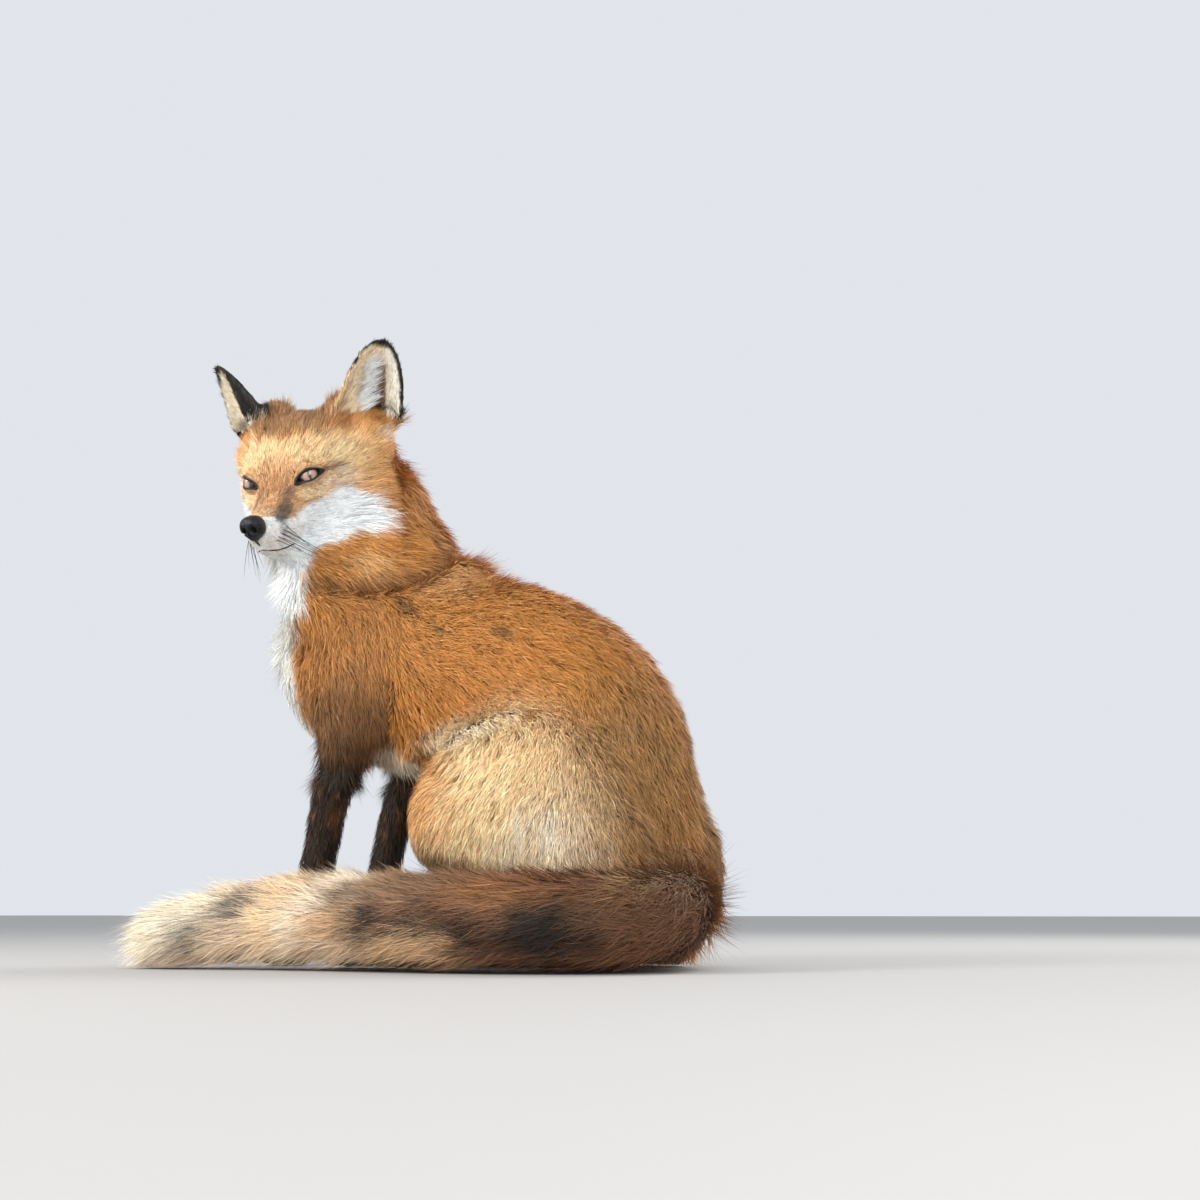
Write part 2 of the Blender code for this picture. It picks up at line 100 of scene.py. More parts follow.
def blot(points, centre, radii, soft=0.45):
    """1 inside an ellipsoid, falling to 0 over a soft share of its radius."""
    reach = np.linalg.norm((points - np.array(centre)) / np.array(radii), axis=-1)
    return fall(reach, 1.0 - soft, 1.0 + soft)


def stroke(points, start, end, radius, soft=0.5):
    """1 near the straight line from start to end, falling to 0 a radius away."""
    a, b = np.array(start), np.array(end)
    t = np.clip(((points - a) @ (b - a)) / ((b - a) @ (b - a)), 0.0, 1.0)
    reach = np.linalg.norm(points - a - t[:, None] * (b - a), axis=-1) / radius
    return fall(reach, 1.0 - soft, 1.0 + soft)


def hashed(cells, seed):
    """A number from 0 to 1 for each row of whole numbers, always the same for the same row."""
    c = cells.astype(np.int64)
    h = (c[..., 0] * 73856093) ^ (c[..., 1] * 19349663) ^ (c[..., 2] * 83492791) ^ (seed * 2654435761)
    h = (h ^ (h >> 13)) * 1274126177
    h = h ^ (h >> 16)
    return (h & 0xFFFFF) / float(0xFFFFF)


def mottle(points, size, seed):
    """Smooth random field from -1 to 1 whose patches are about `size` across."""
    p = points / size
    low = np.floor(p).astype(np.int64)
    t = p - low
    t = t * t * (3.0 - 2.0 * t)
    total = np.zeros(len(points))
    for corner in np.ndindex(2, 2, 2):
        weight = np.prod(np.where(np.array(corner) == 1, t, 1.0 - t), axis=1)
        total += weight * hashed(low + np.array(corner), seed)
    return 2.0 * total - 1.0


def clouded(points, size, seed):
    """Three mottles of halving size added up, which looks ragged as fur does."""
    return (mottle(points, size, seed) + 0.5 * mottle(points, size / 2, seed + 1)
            + 0.25 * mottle(points, size / 4, seed + 2)) / 1.4


# %% Mesh helpers
def mesh_piece(name, points, corners):
    """A smooth mesh object from an array of points and an array of three or four corners a face."""
    mesh = bpy.data.meshes.new(name)
    mesh.vertices.add(len(points))
    mesh.vertices.foreach_set("co", np.ascontiguousarray(points, dtype=np.float32).ravel())
    mesh.loops.add(corners.size)
    mesh.loops.foreach_set("vertex_index", np.ascontiguousarray(corners, dtype=np.int32).ravel())
    mesh.polygons.add(len(corners))
    mesh.polygons.foreach_set("loop_start", np.arange(len(corners), dtype=np.int32) * corners.shape[1])
    mesh.polygons.foreach_set("use_smooth", np.full(len(corners), True))
    mesh.update(calc_edges=True)
    piece = bpy.data.objects.new(name, mesh)
    bpy.context.scene.collection.objects.link(piece)
    return piece


def grid_corners(rows, columns, around):
    """Corner numbers of the quads of a grid, closed on itself across its columns if around."""
    i, j = np.meshgrid(np.arange(rows - 1), np.arange(columns if around else columns - 1), indexing="ij")
    k = (j + 1) % columns
    return np.stack([i * columns + j, i * columns + k, (i + 1) * columns + k, (i + 1) * columns + j],
                    -1).reshape(-1, 4)


def painted(piece, colours):
    """Keeps one colour a point on the piece, as the attribute Pelt that its material reads."""
    layer = piece.data.attributes.new("Pelt", "FLOAT_COLOR", "POINT")
    rgba = np.ones((len(colours), 4), dtype=np.float32)
    rgba[:, :3] = colours
    layer.data.foreach_set("color", rgba.ravel())


def points_of(mesh):
    """The mesh's points as an array."""
    out = np.empty(len(mesh.vertices) * 3, dtype=np.float32)
    mesh.vertices.foreach_get("co", out)
    return out.reshape(-1, 3).astype(float)


def tidy_turn(piece):
    """Turns every face of a closed piece outwards."""
    work = bmesh.new()
    work.from_mesh(piece.data)
    bmesh.ops.remove_doubles(work, verts=work.verts, dist=SAME_POINT)
    bmesh.ops.recalc_face_normals(work, faces=work.faces)
    work.to_mesh(piece.data)
    work.free()


# %% [markdown]
# ## Where the parts of the fox are
#
# The head is turned to the fox's left, so its own directions are kept as a small turned
# frame: `back` runs from the nose to the nape, `side` to the fox's left and `up` to the crown.
# Limbs and brush are known by the line through their middle.

# %% Frames and lines of the body
NOSE_TIP = np.array([-0.2585, -0.1450, 0.3638])
HEAD_TURN = np.array(Euler((math.radians(1.3), math.radians(25.0), math.radians(-83.5))).to_matrix())
BACKWARD, SIDEWAYS, UPWARD = -HEAD_TURN[:, 0], HEAD_TURN[:, 1], HEAD_TURN[:, 2]
HEAD_AXES = np.stack([BACKWARD, SIDEWAYS, UPWARD])
EYE_SEAT = np.array([0.0682, 0.0278, 0.0285])
EAR_PLACES = {  # root and tip in the head's frame, how far the ear is turned out, and its width
    "left": ((0.138, 0.0540, 0.048), (0.134, 0.0855, 0.1285), 22.0, 0.0605),
    "right": ((0.138, -0.0410, 0.048), (0.134, -0.0795, 0.1265), 47.0, 0.0680)}
BRUSH_LINE = np.array([
    (0.058, 0.014, 0.058), (0.084, -0.024, 0.050), (0.090, -0.078, 0.041), (0.060, -0.131, 0.038),
    (0.000, -0.160, 0.038), (-0.068, -0.162, 0.038), (-0.135, -0.154, 0.038), (-0.198, -0.149, 0.038),
    (-0.246, -0.153, 0.034), (-0.286, -0.162, 0.028), (-0.316, -0.170, 0.022), (-0.332, -0.174, 0.018)])
TRUNK_LINE = np.array([
    (0.034, 0, 0.016), (0.014, 0, 0.120), (-0.018, 0, 0.178), (-0.075, 0, 0.220), (-0.140, 0, 0.247),
    (-0.190, 0, 0.270), (-0.225, 0.002, 0.320), (-0.245, -0.002, 0.370), (-0.265, -0.012, 0.436)])


def to_head(points):
    """Body points written as back, side and up in the head's own frame."""
    return (points - NOSE_TIP) @ HEAD_AXES.T


def from_head(rows):
    """Points of the head's frame put back in the body's."""
    return NOSE_TIP + np.asarray(rows, dtype=float) @ HEAD_AXES


def finer(line, count=160):
    """The same line with evenly spaced points, rounded by a running mean."""
    reach = np.r_[0, np.cumsum(np.linalg.norm(np.diff(line, axis=0), axis=1))]
    s = np.linspace(0, reach[-1], count)
    out = np.stack([np.interp(s, reach, line[:, k]) for k in range(3)], 1)
    for _ in range(60):
        out[1:-1] = 0.5 * out[1:-1] + 0.25 * (out[:-2] + out[2:])
    return out


STRETCH = 20000                               # points worked on at once, to spare memory


def along(points, line):
    """For each point: how far along the line it is (0 to 1), the line's way there, and the line's point.
    The line's nearest point has the least |p|^2 - 2 p.q + |q|^2, taken for a stretch of points at a time."""
    fine = finer(line)
    way = unit(np.gradient(fine, axis=0))
    near = np.zeros(len(points), dtype=int)
    for start in range(0, len(points), STRETCH):
        part = points[start:start + STRETCH]
        near[start:start + STRETCH] = (((part ** 2).sum(1)[:, None] - 2 * part @ fine.T
                                        + (fine ** 2).sum(1)[None]).argmin(1))
    return near / (len(fine) - 1), way[near], fine[near]


# %% [markdown]
# ## One skin
#
# On a mounted fox the pelt is a single sheet. The body here comes in named solids parted by
# thin cuts, so they are gathered, swollen by a hair's breadth until they overlap, and wrapped
# afresh with a voxel remesh, which closes every seam. The brush is wrapped apart from the
# body, so that the crease between it and the thigh stays open. Then the sheet is relaxed and
# drawn in by the depth of the coat, because the body's solids reach to the tips of the fur.

# %% Gather and wrap
FLESH = [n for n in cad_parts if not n.startswith(("eye", "nose"))]
BRUSH = [n for n in FLESH if n.startswith("tail")]
BODY = [n for n in FLESH if n not in BRUSH]
SWELL = 0.0006
SOLID_MERGE = 2e-6                            # the solids come as loose triangles whose corners meet
BODY_CELL, BRUSH_CELL = 0.0022, 0.0032


def gathered(names):
    """Points and triangles of the named solids, each merged and swollen a little along its normals."""
    points, corners, owner, start = [], [], [], 0
    for number, name in enumerate(names):
        work = bmesh.new()
        work.from_mesh(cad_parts[name].data)
        bmesh.ops.remove_doubles(work, verts=work.verts, dist=SOLID_MERGE)
        work.normal_update()
        points.append(np.array([tuple(v.co + SWELL * v.normal) for v in work.verts]))
        corners.append(np.array([[v.index for v in f.verts] for f in work.faces]) + start)
        owner.append(np.full(len(work.faces), number))
        start += len(work.verts)
        work.free()
    return np.concatenate(points), np.concatenate(corners), np.concatenate(owner)


def wrapped(names, cell):
    """A voxel remesh of the gathered solids: its points and quads, keeping only the biggest shell."""
    points, corners, _ = gathered(names)
    piece = mesh_piece("wrap", points, corners)
    remesh = piece.modifiers.new("wrap", "REMESH")
    remesh.mode, remesh.voxel_size, remesh.adaptivity = "VOXEL", cell, 0.0
    mesh = bpy.data.meshes.new_from_object(piece.evaluated_get(bpy.context.evaluated_depsgraph_get()))
    points = points_of(mesh)
    quads = np.empty(len(mesh.loops), dtype=np.int32)
    mesh.loops.foreach_get("vertex_index", quads)
    quads = quads.reshape(-1, 4)
    bpy.data.objects.remove(piece)
    label = np.arange(len(points))
    while True:
        low = label[quads].min(1)
        new = label.copy()
        for k in range(4):
            np.minimum.at(new, quads[:, k], low)
        new = new[new]
        if (new == label).all():
            break
        label = new
    names_of, counts = np.unique(label, return_counts=True)
    keep = label == names_of[counts.argmax()]
    number = np.cumsum(keep) - 1
    return points[keep], number[quads[keep[quads].all(1)]]


def ring_edges(quads):
    """The edges of a quad mesh, each once."""
    pairs = np.concatenate([quads[:, [k, (k + 1) % 4]] for k in range(4)])
    return np.unique(np.sort(pairs, axis=1), axis=0)


def spread(values, edges, rounds, share=0.5):
    """Each value moved towards the mean of its neighbours, a number of times over."""
    out = np.array(values, dtype=float)
    flat = out.reshape(len(out), -1)
    count = np.bincount(edges.ravel(), minlength=len(out)).astype(float)
    for _ in range(rounds):
        for k in range(flat.shape[1]):
            total = (np.bincount(edges[:, 0], flat[edges[:, 1], k], len(out))
                     + np.bincount(edges[:, 1], flat[edges[:, 0], k], len(out)))
            flat[:, k] += share * (total / count - flat[:, k])
    return flat.reshape(out.shape)


def normals_at(points, quads):
    """The mean of the normals of the faces round each point."""
    face = np.cross(points[quads[:, 2]] - points[quads[:, 0]], points[quads[:, 3]] - points[quads[:, 1]])
    out = np.zeros_like(points)
    for k in range(3):
        for c in range(4):
            out[:, k] += np.bincount(quads[:, c], face[:, k], len(points))
    return unit(out)


body_points, body_quads = wrapped(BODY, BODY_CELL)
brush_points, brush_quads = wrapped(BRUSH, BRUSH_CELL)
hull = np.concatenate([body_points, brush_points])
quads = np.concatenate([body_quads, brush_quads + len(body_points)])
edges = ring_edges(quads)
is_brush = np.arange(len(hull)) >= len(body_points)
print("wrapped", len(hull), "points,", 2 * len(quads), "triangles")

# %% Which solid each point of the skin belongs to
solid_points, solid_corners, solid_owner = gathered(FLESH)
solid_tree = BVHTree.FromPolygons(solid_points.tolist(), solid_corners.tolist())
owner = solid_owner[np.array([solid_tree.find_nearest(p)[2] for p in hull.tolist()])]
owner_name = np.array(FLESH)[owner]


def owned(*stems):
    """True where the point belongs to a solid whose name starts with one of the stems."""
    out = np.zeros(len(owner_name), dtype=bool)
    for stem in stems:
        out |= np.char.startswith(owner_name, stem)
    return out


# %% Ears have a frame of their own
def ear_at(points, hand):
    """For each point: the share t of the way up the ear, the place a across it (-1 inner edge, 1 outer edge), and
    the metres in front of its shell, half ((1 - sqrt(1 - a^2)) (0.85 - 0.35 t) - 0.30). Then the ear's three ways
    (up it, out of its cup, across it), and the way from each point to the middle of the cup."""
    root, tip, turn, width = EAR_PLACES["left" if hand > 0 else "right"]
    foot, top = from_head(root), from_head(tip)
    axis = unit(top - foot)
    turn = math.radians(turn)
    opening = -math.cos(turn) * BACKWARD + hand * math.sin(turn) * SIDEWAYS
    wing = math.sin(turn) * BACKWARD + hand * math.cos(turn) * SIDEWAYS
    share = (points - foot) @ axis / np.linalg.norm(top - foot)
    level = np.clip(share, 0, 1)
    half = width / 2 * np.sqrt(np.clip(1.0 - level ** 2.5, 0.03, 1))
    aside = points - (foot + level[:, None] * (top - foot))
    across = (aside @ wing) / half
    shell = half * ((1.0 - np.sqrt(1.0 - np.clip(across, -1, 1) ** 2)) * (0.85 - 0.35 * level) - 0.30)
    cup = foot + level[:, None] * (top - foot) + (half * (0.55 - 0.35 * level))[:, None] * opening
    return share, across, aside @ opening - shell, axis, opening, wing, unit(cup - points)


on_ear = np.zeros(len(hull), dtype=bool)
for hand, name in ((1, "ear_left"), (-1, "ear_right")):
    mine = owned(name)
    share, across, gap = ear_at(hull[mine], hand)[:3]
    on_ear[mine] = (gap > -0.0075) & ((np.abs(across) < 1.25) | (share > 0.45))
on_head = owned("head", "ear") & ~on_ear

# %% [markdown]
# ### How deep, how long and how thick the coat is
#
# A fox's fur is five millimetres on the muzzle and over four centimetres on the brush. Each solid
# has its own depth, hair length and blade width in one table. The table is laid on the skin
# point by point and then spread over its neighbours, so the coat changes gradually.

# %% The table of the coat
#             depth    length  width   clump
COAT_TABLE = {
    "head": (0.0040, 0.0120, 0.00042, 0.0045),
    "ear": (0.0011, 0.0060, 0.00045, 0.0030),
    "neck": (0.0140, 0.0300, 0.00058, 0.0075),
    "chest": (0.0110, 0.0240, 0.00055, 0.0065),
    "loin": (0.0105, 0.0240, 0.00055, 0.0065),
    "rump": (0.0120, 0.0260, 0.00058, 0.0075),
    "haunch": (0.0095, 0.0210, 0.00055, 0.0062),
    "foreleg": (0.0038, 0.0125, 0.00055, 0.0048),
    "forepaw": (0.0022, 0.0080, 0.00052, 0.0040),
    "hind_foot": (0.0026, 0.0095, 0.00052, 0.0045),
    "tail": (0.0210, 0.0450, 0.00058, 0.0125)}

coat = np.zeros((len(hull), 4))
for stem, sizes in COAT_TABLE.items():
    coat[owned(stem)] = sizes
coat[on_head] = COAT_TABLE["head"]
head_at = to_head(hull)
aside = np.abs(head_at[:, 1])
muzzle = on_head * fall(head_at[:, 0], 0.034, 0.062)
ruff = on_head * ramp(aside, 0.045, 0.068) * fall(head_at[:, 2], 0.006, 0.034)
crown = on_head * ramp(head_at[:, 0], 0.066, 0.100) * ramp(head_at[:, 2], 0.015, 0.045)
beard = on_head * ramp(-head_at[:, 2], 0.034, 0.046)
for share, sizes in ((muzzle, (0.0014, 0.0052, 0.00036, 0.0030)), (ruff, (0.0095, 0.0270, 0.00050, 0.0060)),
                     (crown, (0.0062, 0.0175, 0.00046, 0.0055)), (beard, (0.0120, 0.0280, 0.00056, 0.0075))):
    coat += share[:, None] * (np.array(sizes) - coat)
tail_share, tail_way = along(hull, BRUSH_LINE)[:2]
coat[is_brush, 0] *= (0.45 + 0.55 * ramp(1.0 - tail_share[is_brush], 0.0, 0.16))
coat = spread(coat, edges, 24)
print("hair from", coat[:, 1].min(), "to", coat[:, 1].max())

# %% Relax and draw in
relaxed = spread(hull, edges, 6)
hull_normal = normals_at(relaxed, quads)
relaxed = np.where(on_ear[:, None], spread(hull, edges, 2), relaxed)
skin = relaxed - hull_normal * (coat[:, :1] + SWELL)
step = spread(skin - relaxed, edges, 8)
skin = relaxed + step
skin = np.where(on_ear[:, None], skin, spread(skin, edges, 4))

# %% Creases that stay open: under the turned neck, behind the elbow, above the thigh
relaxed_skin = skin.copy()


def seam(points, rows, radius, soft=0.5):
    """The strongest of the strokes along a row of places, each first brought down to the skin's nearest point."""
    places = [relaxed_skin[((relaxed_skin - row) ** 2).sum(1).argmin()] for row in np.array(rows)]
    return np.max([stroke(points, one, two, radius, soft) for one, two in zip(places, places[1:])], axis=0)


def on_both_hands(rows, radius):
    """The seam along a row of places and along its mirror image."""
    return np.maximum(seam(skin, rows, radius), seam(skin, np.array(rows) * (1.0, -1.0, 1.0), radius))


NECK_FOLD = ((-0.238, -0.096, 0.318), (-0.227, -0.089, 0.320), (-0.212, -0.077, 0.321), (-0.194, -0.071, 0.324),
             (-0.171, -0.062, 0.326), (-0.154, -0.049, 0.334), (-0.142, -0.033, 0.345), (-0.144, -0.006, 0.361))
ELBOW_FOLD = ((-0.170, -0.077, 0.242), (-0.167, -0.074, 0.225), (-0.173, -0.067, 0.205), (-0.178, -0.054, 0.185),
              (-0.174, -0.045, 0.176))
THIGH_FOLD = ((-0.165, -0.052, 0.179), (-0.137, -0.063, 0.185), (-0.092, -0.086, 0.190), (-0.058, -0.095, 0.199),
              (-0.030, -0.092, 0.210))
NECK_SUNK, ELBOW_SUNK, THIGH_RAISED = 0.0045, 0.0040, 0.0032    # the skin over the thigh's edge stands out
neck_fold = seam(skin, NECK_FOLD, 0.0060)
elbow_fold, thigh_fold = on_both_hands(ELBOW_FOLD, 0.0045), on_both_hands(THIGH_FOLD, 0.0042)
hull_normal = normals_at(spread(skin, edges, 4), quads)
sunk = spread(NECK_SUNK * neck_fold + ELBOW_SUNK * elbow_fold - THIGH_RAISED * thigh_fold, edges, 3)
skin = skin - hull_normal * sunk[:, None]
coat[:, 1] *= 1.0 - 0.55 * np.maximum(neck_fold, elbow_fold) - 0.12 * thigh_fold

# %% [markdown]
# ### Sockets
#
# A glass eye sits in a socket, and the lids are drawn over it. Each eye has a frame of its
# own: `across` runs along the slit from the tear duct to the outer corner, `lift` crosses it,
# and `gaze` looks out. Skin inside the slit is pushed back behind the eyeball.

# %% Frames of the eyes
EYE_RADIUS = 0.0090
SLIT = (0.0104, 0.0041, 0.0035)   # half the slit's length, and its height above and below
BROW_STANDS, SOCKET_DEPTH = 0.0026, 0.0035


def eye_frame(hand):
    """Centre and the three directions of one eye; hand is +1 for the fox's left."""
    centre = from_head(EYE_SEAT * (1, hand, 1))
    turn, rise = math.radians(36.0), math.radians(11.0)
    gaze = unit(-math.cos(turn) * BACKWARD + hand * math.sin(turn) * SIDEWAYS + 0.10 * UPWARD)
    flat = unit(math.sin(turn) * BACKWARD + hand * math.cos(turn) * SIDEWAYS)
    across = unit(math.cos(rise) * flat + math.sin(rise) * UPWARD)
    across = unit(across - gaze * (across @ gaze))
    lift = np.cross(gaze, across)
    return centre, across, lift * np.sign(lift @ UPWARD), gaze


EYES = {1: eye_frame(1), -1: eye_frame(-1)}


def in_eye(points, hand):
    """Points in an eye's frame: along the slit, across it and outwards."""
    centre, across, lift, gaze = EYES[hand]
    return (points - centre) @ np.stack([across, lift, gaze]).T


def from_eye(rows, hand):
    """Points of an eye's frame put back in the body's."""
    centre, across, lift, gaze = EYES[hand]
    return centre + rows @ np.stack([across, lift, gaze])


def slit_reach(local, grow=0.0):
    """Below 1 inside the almond of the slit, above 1 outside it."""
    height = np.where(local[:, 1] > 0, SLIT[1], SLIT[2]) + grow
    return np.sqrt((local[:, 0] / (SLIT[0] + grow)) ** 2 + (local[:, 1] / height) ** 2)


for hand in (1, -1):
    local = in_eye(skin, hand)
    near = (np.abs(local[:, 2]) < 0.02) & on_head
    ridge = near * np.exp(-(local[:, 0] / 0.014) ** 2 - ((local[:, 1] - 0.0100) / 0.0048) ** 2)
    skin += (BROW_STANDS * ridge)[:, None] * EYES[hand][3]             # the brow overhangs the eye a little
    inside = near * fall(slit_reach(local, 0.0012), 0.85, 1.25)
    pushed = np.minimum(local[:, 2], -SOCKET_DEPTH)
    skin += (inside * (pushed - local[:, 2]))[:, None] * EYES[hand][3]
skin_normal = normals_at(skin, quads)
print("skin box", skin.min(0).round(4), skin.max(0).round(4))

# %% [markdown]
# ## Which way the hair lies
#
# Hair leaves the nose in every direction, runs back over the face, down the neck and along
# the body, and down each limb to the toes. A groomer's chart would show this as strokes, and
# so does the table here: each stroke has a place, a way and a reach, and a point of the skin
# takes the mean of the strokes near it. The result is pressed flat on the skin.

# %% Strokes of the grooming chart (x, distance from the middle, height; then the way)
BODY_STROKES = np.array([
    (-0.210, 0.060, 0.430, 0.55, 0.10, -0.80), (-0.160, 0.050, 0.365, 0.95, 0.05, -0.10),
    (-0.225, 0.075, 0.340, 0.95, 0.20, -0.20), (-0.265, 0.045, 0.330, 0.10, 0.10, -1.00),
    (-0.305, 0.000, 0.280, 0.02, 0.00, -1.00), (-0.275, 0.040, 0.200, 0.25, 0.05, -1.00),
    (-0.205, 0.080, 0.275, 0.40, 0.05, -0.90), (-0.205, 0.075, 0.205, 0.10, 0.00, -1.00),
    (-0.160, 0.020, 0.335, 0.92, 0.10, -0.38), (-0.085, 0.015, 0.315, 0.95, 0.10, -0.30),
    (-0.105, 0.080, 0.255, 0.92, 0.00, -0.40), (-0.120, 0.078, 0.190, 0.70, 0.00, -0.70),
    (-0.060, 0.080, 0.210, 0.85, 0.00, -0.50), (-0.020, 0.020, 0.275, 0.78, 0.10, -0.60),
    (0.050, 0.030, 0.190, 0.40, 0.10, -0.90), (0.085, 0.030, 0.100, 0.02, 0.10, -1.00),
    (0.070, 0.020, 0.060, 0.30, 0.20, -0.90), (-0.120, 0.000, 0.130, 0.80, 0.00, -0.20),
    (0.035, 0.095, 0.180, 0.10, 0.00, -1.00), (-0.030, 0.120, 0.150, -0.42, 0.10, -0.90),
    (-0.085, 0.115, 0.150, -0.55, 0.00, -0.80), (-0.120, 0.100, 0.130, -0.35, 0.00, -0.95),
    (-0.070, 0.125, 0.100, -0.30, 0.00, -1.00), (-0.010, 0.125, 0.085, -0.12, 0.00, -1.00),
    (0.050, 0.105, 0.075, 0.30, 0.00, -1.00), (-0.040, 0.050, 0.090, -0.20, 0.00, -1.00)])
STROKE_REACH = 0.036


def combed(points):
    """Mean of the chart's strokes, each weighed by exp(-(distance / reach)^2), mirrored for the right."""
    hand = np.where(points[:, 1] > 0, 1.0, -1.0)
    folded = np.stack([points[:, 0], np.abs(points[:, 1]), points[:, 2]], 1)
    gap = ((folded[:, None] - BODY_STROKES[None, :, :3]) ** 2).sum(2) / STROKE_REACH ** 2
    weight = np.exp(-(gap - gap.min(1, keepdims=True)))
    way = (weight @ BODY_STROKES[:, 3:]) / weight.sum(1, keepdims=True)
    return np.stack([way[:, 0], way[:, 1] * hand, way[:, 2]], 1)


# %% The way of the hair at every point of the skin
EAR_SHARE, EAR_ACROSS, EAR_INSIDE = np.zeros(len(skin)), np.zeros(len(skin)), np.zeros(len(skin))
right_ear = on_ear & owned("ear_right")
for hand, mine in ((1, on_ear & ~right_ear), (-1, right_ear)):
    share, across, _, _, _, _, cupward = ear_at(skin[mine], hand)
    EAR_SHARE[mine], EAR_ACROSS[mine] = share, across
    EAR_INSIDE[mine] = ramp((skin_normal[mine] * cupward).sum(1), -0.05, 0.25)
way = combed(skin)
head_at = to_head(skin)
from_nose = unit(head_at - np.array([-0.004, 0.0, 0.004]))
from_nose[:, 2] -= 0.45 * ruff + 0.15 * on_head * ramp(-head_at[:, 2], 0.0, 0.03)
way = np.where(on_head[:, None], from_nose @ HEAD_AXES, way)
for hand in (1, -1):
    local = in_eye(skin, hand)
    away = unit(local * (1.0, 1.3, 0.0)) @ np.stack(EYES[hand][1:4])
    near = np.exp(-(np.linalg.norm(local, axis=1) / 0.0155) ** 2)[:, None] * on_head[:, None]
    way = unit(way) + 1.9 * near * away
    mine = on_ear & (right_ear == (hand < 0))
    axis, opening, wing = ear_at(skin[:1], hand)[3:6]
    way[mine] = axis + (0.55 * EAR_INSIDE[mine])[:, None] * wing
way[owned("foreleg")] = (-0.12, 0.0, -1.0)
way[owned("forepaw")] = (-0.85, 0.0, -0.35)
way[owned("hind_foot")] = (-0.95, 0.0, -0.15)
way[is_brush] = tail_way[is_brush] + 0.10 * skin_normal[is_brush] + np.array([0.0, 0.0, -0.10])


def laid(ways, normals):
    """Ways pressed flat on the skin and made one long."""
    return unit(ways - (ways * normals).sum(1, keepdims=True) * normals)


way = laid(unit(way), skin_normal)
way = laid(spread(way, edges, 26), skin_normal)


def bend_along(points, normals, ways):
    """How fast the skin turns away under the hair: change of normal per metre travelled its way."""
    top, below = np.zeros(len(points)), np.full(len(points), 1e-12)
    for a, b in ((0, 1), (1, 0)):
        i, j = edges[:, a], edges[:, b]
        gone = ((points[j] - points[i]) * ways[i]).sum(1)
        turned = ((normals[j] - normals[i]) * ways[i]).sum(1)
        top += np.bincount(i, gone * turned, len(points))
        below += np.bincount(i, gone * gone, len(points))
    return np.clip(spread(top / below, edges, 14), -25.0, 45.0)


bend = bend_along(skin, spread(skin_normal, edges, 6), way)
print("bend from", bend.min().round(1), "to", bend.max().round(1), "per metre")

# %% [markdown]
# ## Markings
#
# A hair is darker by the skin than at its tip, so each tone is a pair of colours. The pelt
# starts ginger all over and each marking is laid on top with a soft, ragged share. A few laid
# tones are painted shade rather than markings: along the creases of the neck, elbow, thigh and
# cheek, along the partings and down the hollow of the left ear; along the thigh's crease there is
# painted light as well. The same colours go to the skin and to the coat, so a parting never shows
# a wrong colour.

# %% Tones, near the skin and at the tip
TONES = {
    "ginger": ((0.320, 0.125, 0.030), (0.600, 0.265, 0.066)),
    "flame": ((0.350, 0.135, 0.030), (0.640, 0.270, 0.062)),
    "straw": ((0.560, 0.320, 0.130), (0.930, 0.670, 0.370)),
    "tan": ((0.360, 0.210, 0.115), (0.660, 0.420, 0.235)),
    "cream": ((0.780, 0.680, 0.520), (0.990, 0.900, 0.720)),
    "white": ((0.880, 0.920, 0.930), (0.950, 0.985, 0.990)),
    "rust": ((0.220, 0.090, 0.030), (0.440, 0.200, 0.070)),
    "agouti": ((0.170, 0.092, 0.038), (0.420, 0.250, 0.105)),
    "chestnut": ((0.090, 0.036, 0.018), (0.240, 0.107, 0.053)),
    "brown": ((0.060, 0.032, 0.016), (0.165, 0.086, 0.040)),
    "smoke": ((0.055, 0.048, 0.044), (0.105, 0.091, 0.082)),
    "black": ((0.016, 0.012, 0.010), (0.020, 0.015, 0.012))}
root_tone = np.tile(TONES["ginger"][0], (len(skin), 1))
tip_tone = np.tile(TONES["ginger"][1], (len(skin), 1))
tick = np.full(len(skin), 0.04)          # the share of hairs with a black tip
grizzle = np.full(len(skin), 0.02)       # and of those with a pale one
ragged = clouded(skin, 0.013, 11)
broad = clouded(skin, 0.045, 31)


def lay(tone, share):
    """Mixes a tone into the pelt where share is above 0."""
    part = np.clip(share, 0.0, 1.0)[:, None]
    root_tone[:] += part * (np.array(TONES[tone][0]) - root_tone)
    tip_tone[:] += part * (np.array(TONES[tone][1]) - tip_tone)


# %% Body
folded = np.stack([skin[:, 0], np.abs(skin[:, 1]), skin[:, 2]], 1)
rough = folded + 0.007 * ragged[:, None]
trunk = owned("neck", "chest", "loin", "rump")
haunch = owned("haunch")
lay("flame", 0.6 * (owned("chest", "loin") & (skin[:, 2] < 0.26)) * (1.0 - 0.4 * broad))
lay("rust", 0.35 * owned("chest") * blot(rough, (-0.185, 0.085, 0.232), (0.030, 0.03, 0.028)))
lay("rust", 0.30 * owned("chest") * blot(rough, (-0.205, 0.070, 0.270), (0.05, 0.06, 0.05)))
lay("rust", 0.22 * trunk * ramp(skin_normal[:, 2], 0.3, 0.9))
lay("straw", 0.22 * trunk * blot(rough, (-0.120, 0.040, 0.325), (0.035, 0.05, 0.022)))
lay("straw", haunch * (0.84 + 0.25 * ragged) * blot(rough, (-0.045, 0.125, 0.118), (0.105, 0.085, 0.108), 0.3))
lay("cream", haunch * (0.50 + 0.25 * ragged) * blot(rough, (0.012, 0.120, 0.082), (0.050, 0.05, 0.034)))
# Straw along the thigh's upper edge is partly its pale rim of hair and partly painted light over the crease's shade;
# the cream along the crease is painted light.
lay("straw", haunch * 0.95 * seam(skin, np.array(THIGH_FOLD[1:]) - (0, 0.004, 0.004), 0.011))
lay("cream", haunch * 0.25 * seam(skin, np.array(THIGH_FOLD[2:]) - (0, 0.002, 0.005), 0.008))
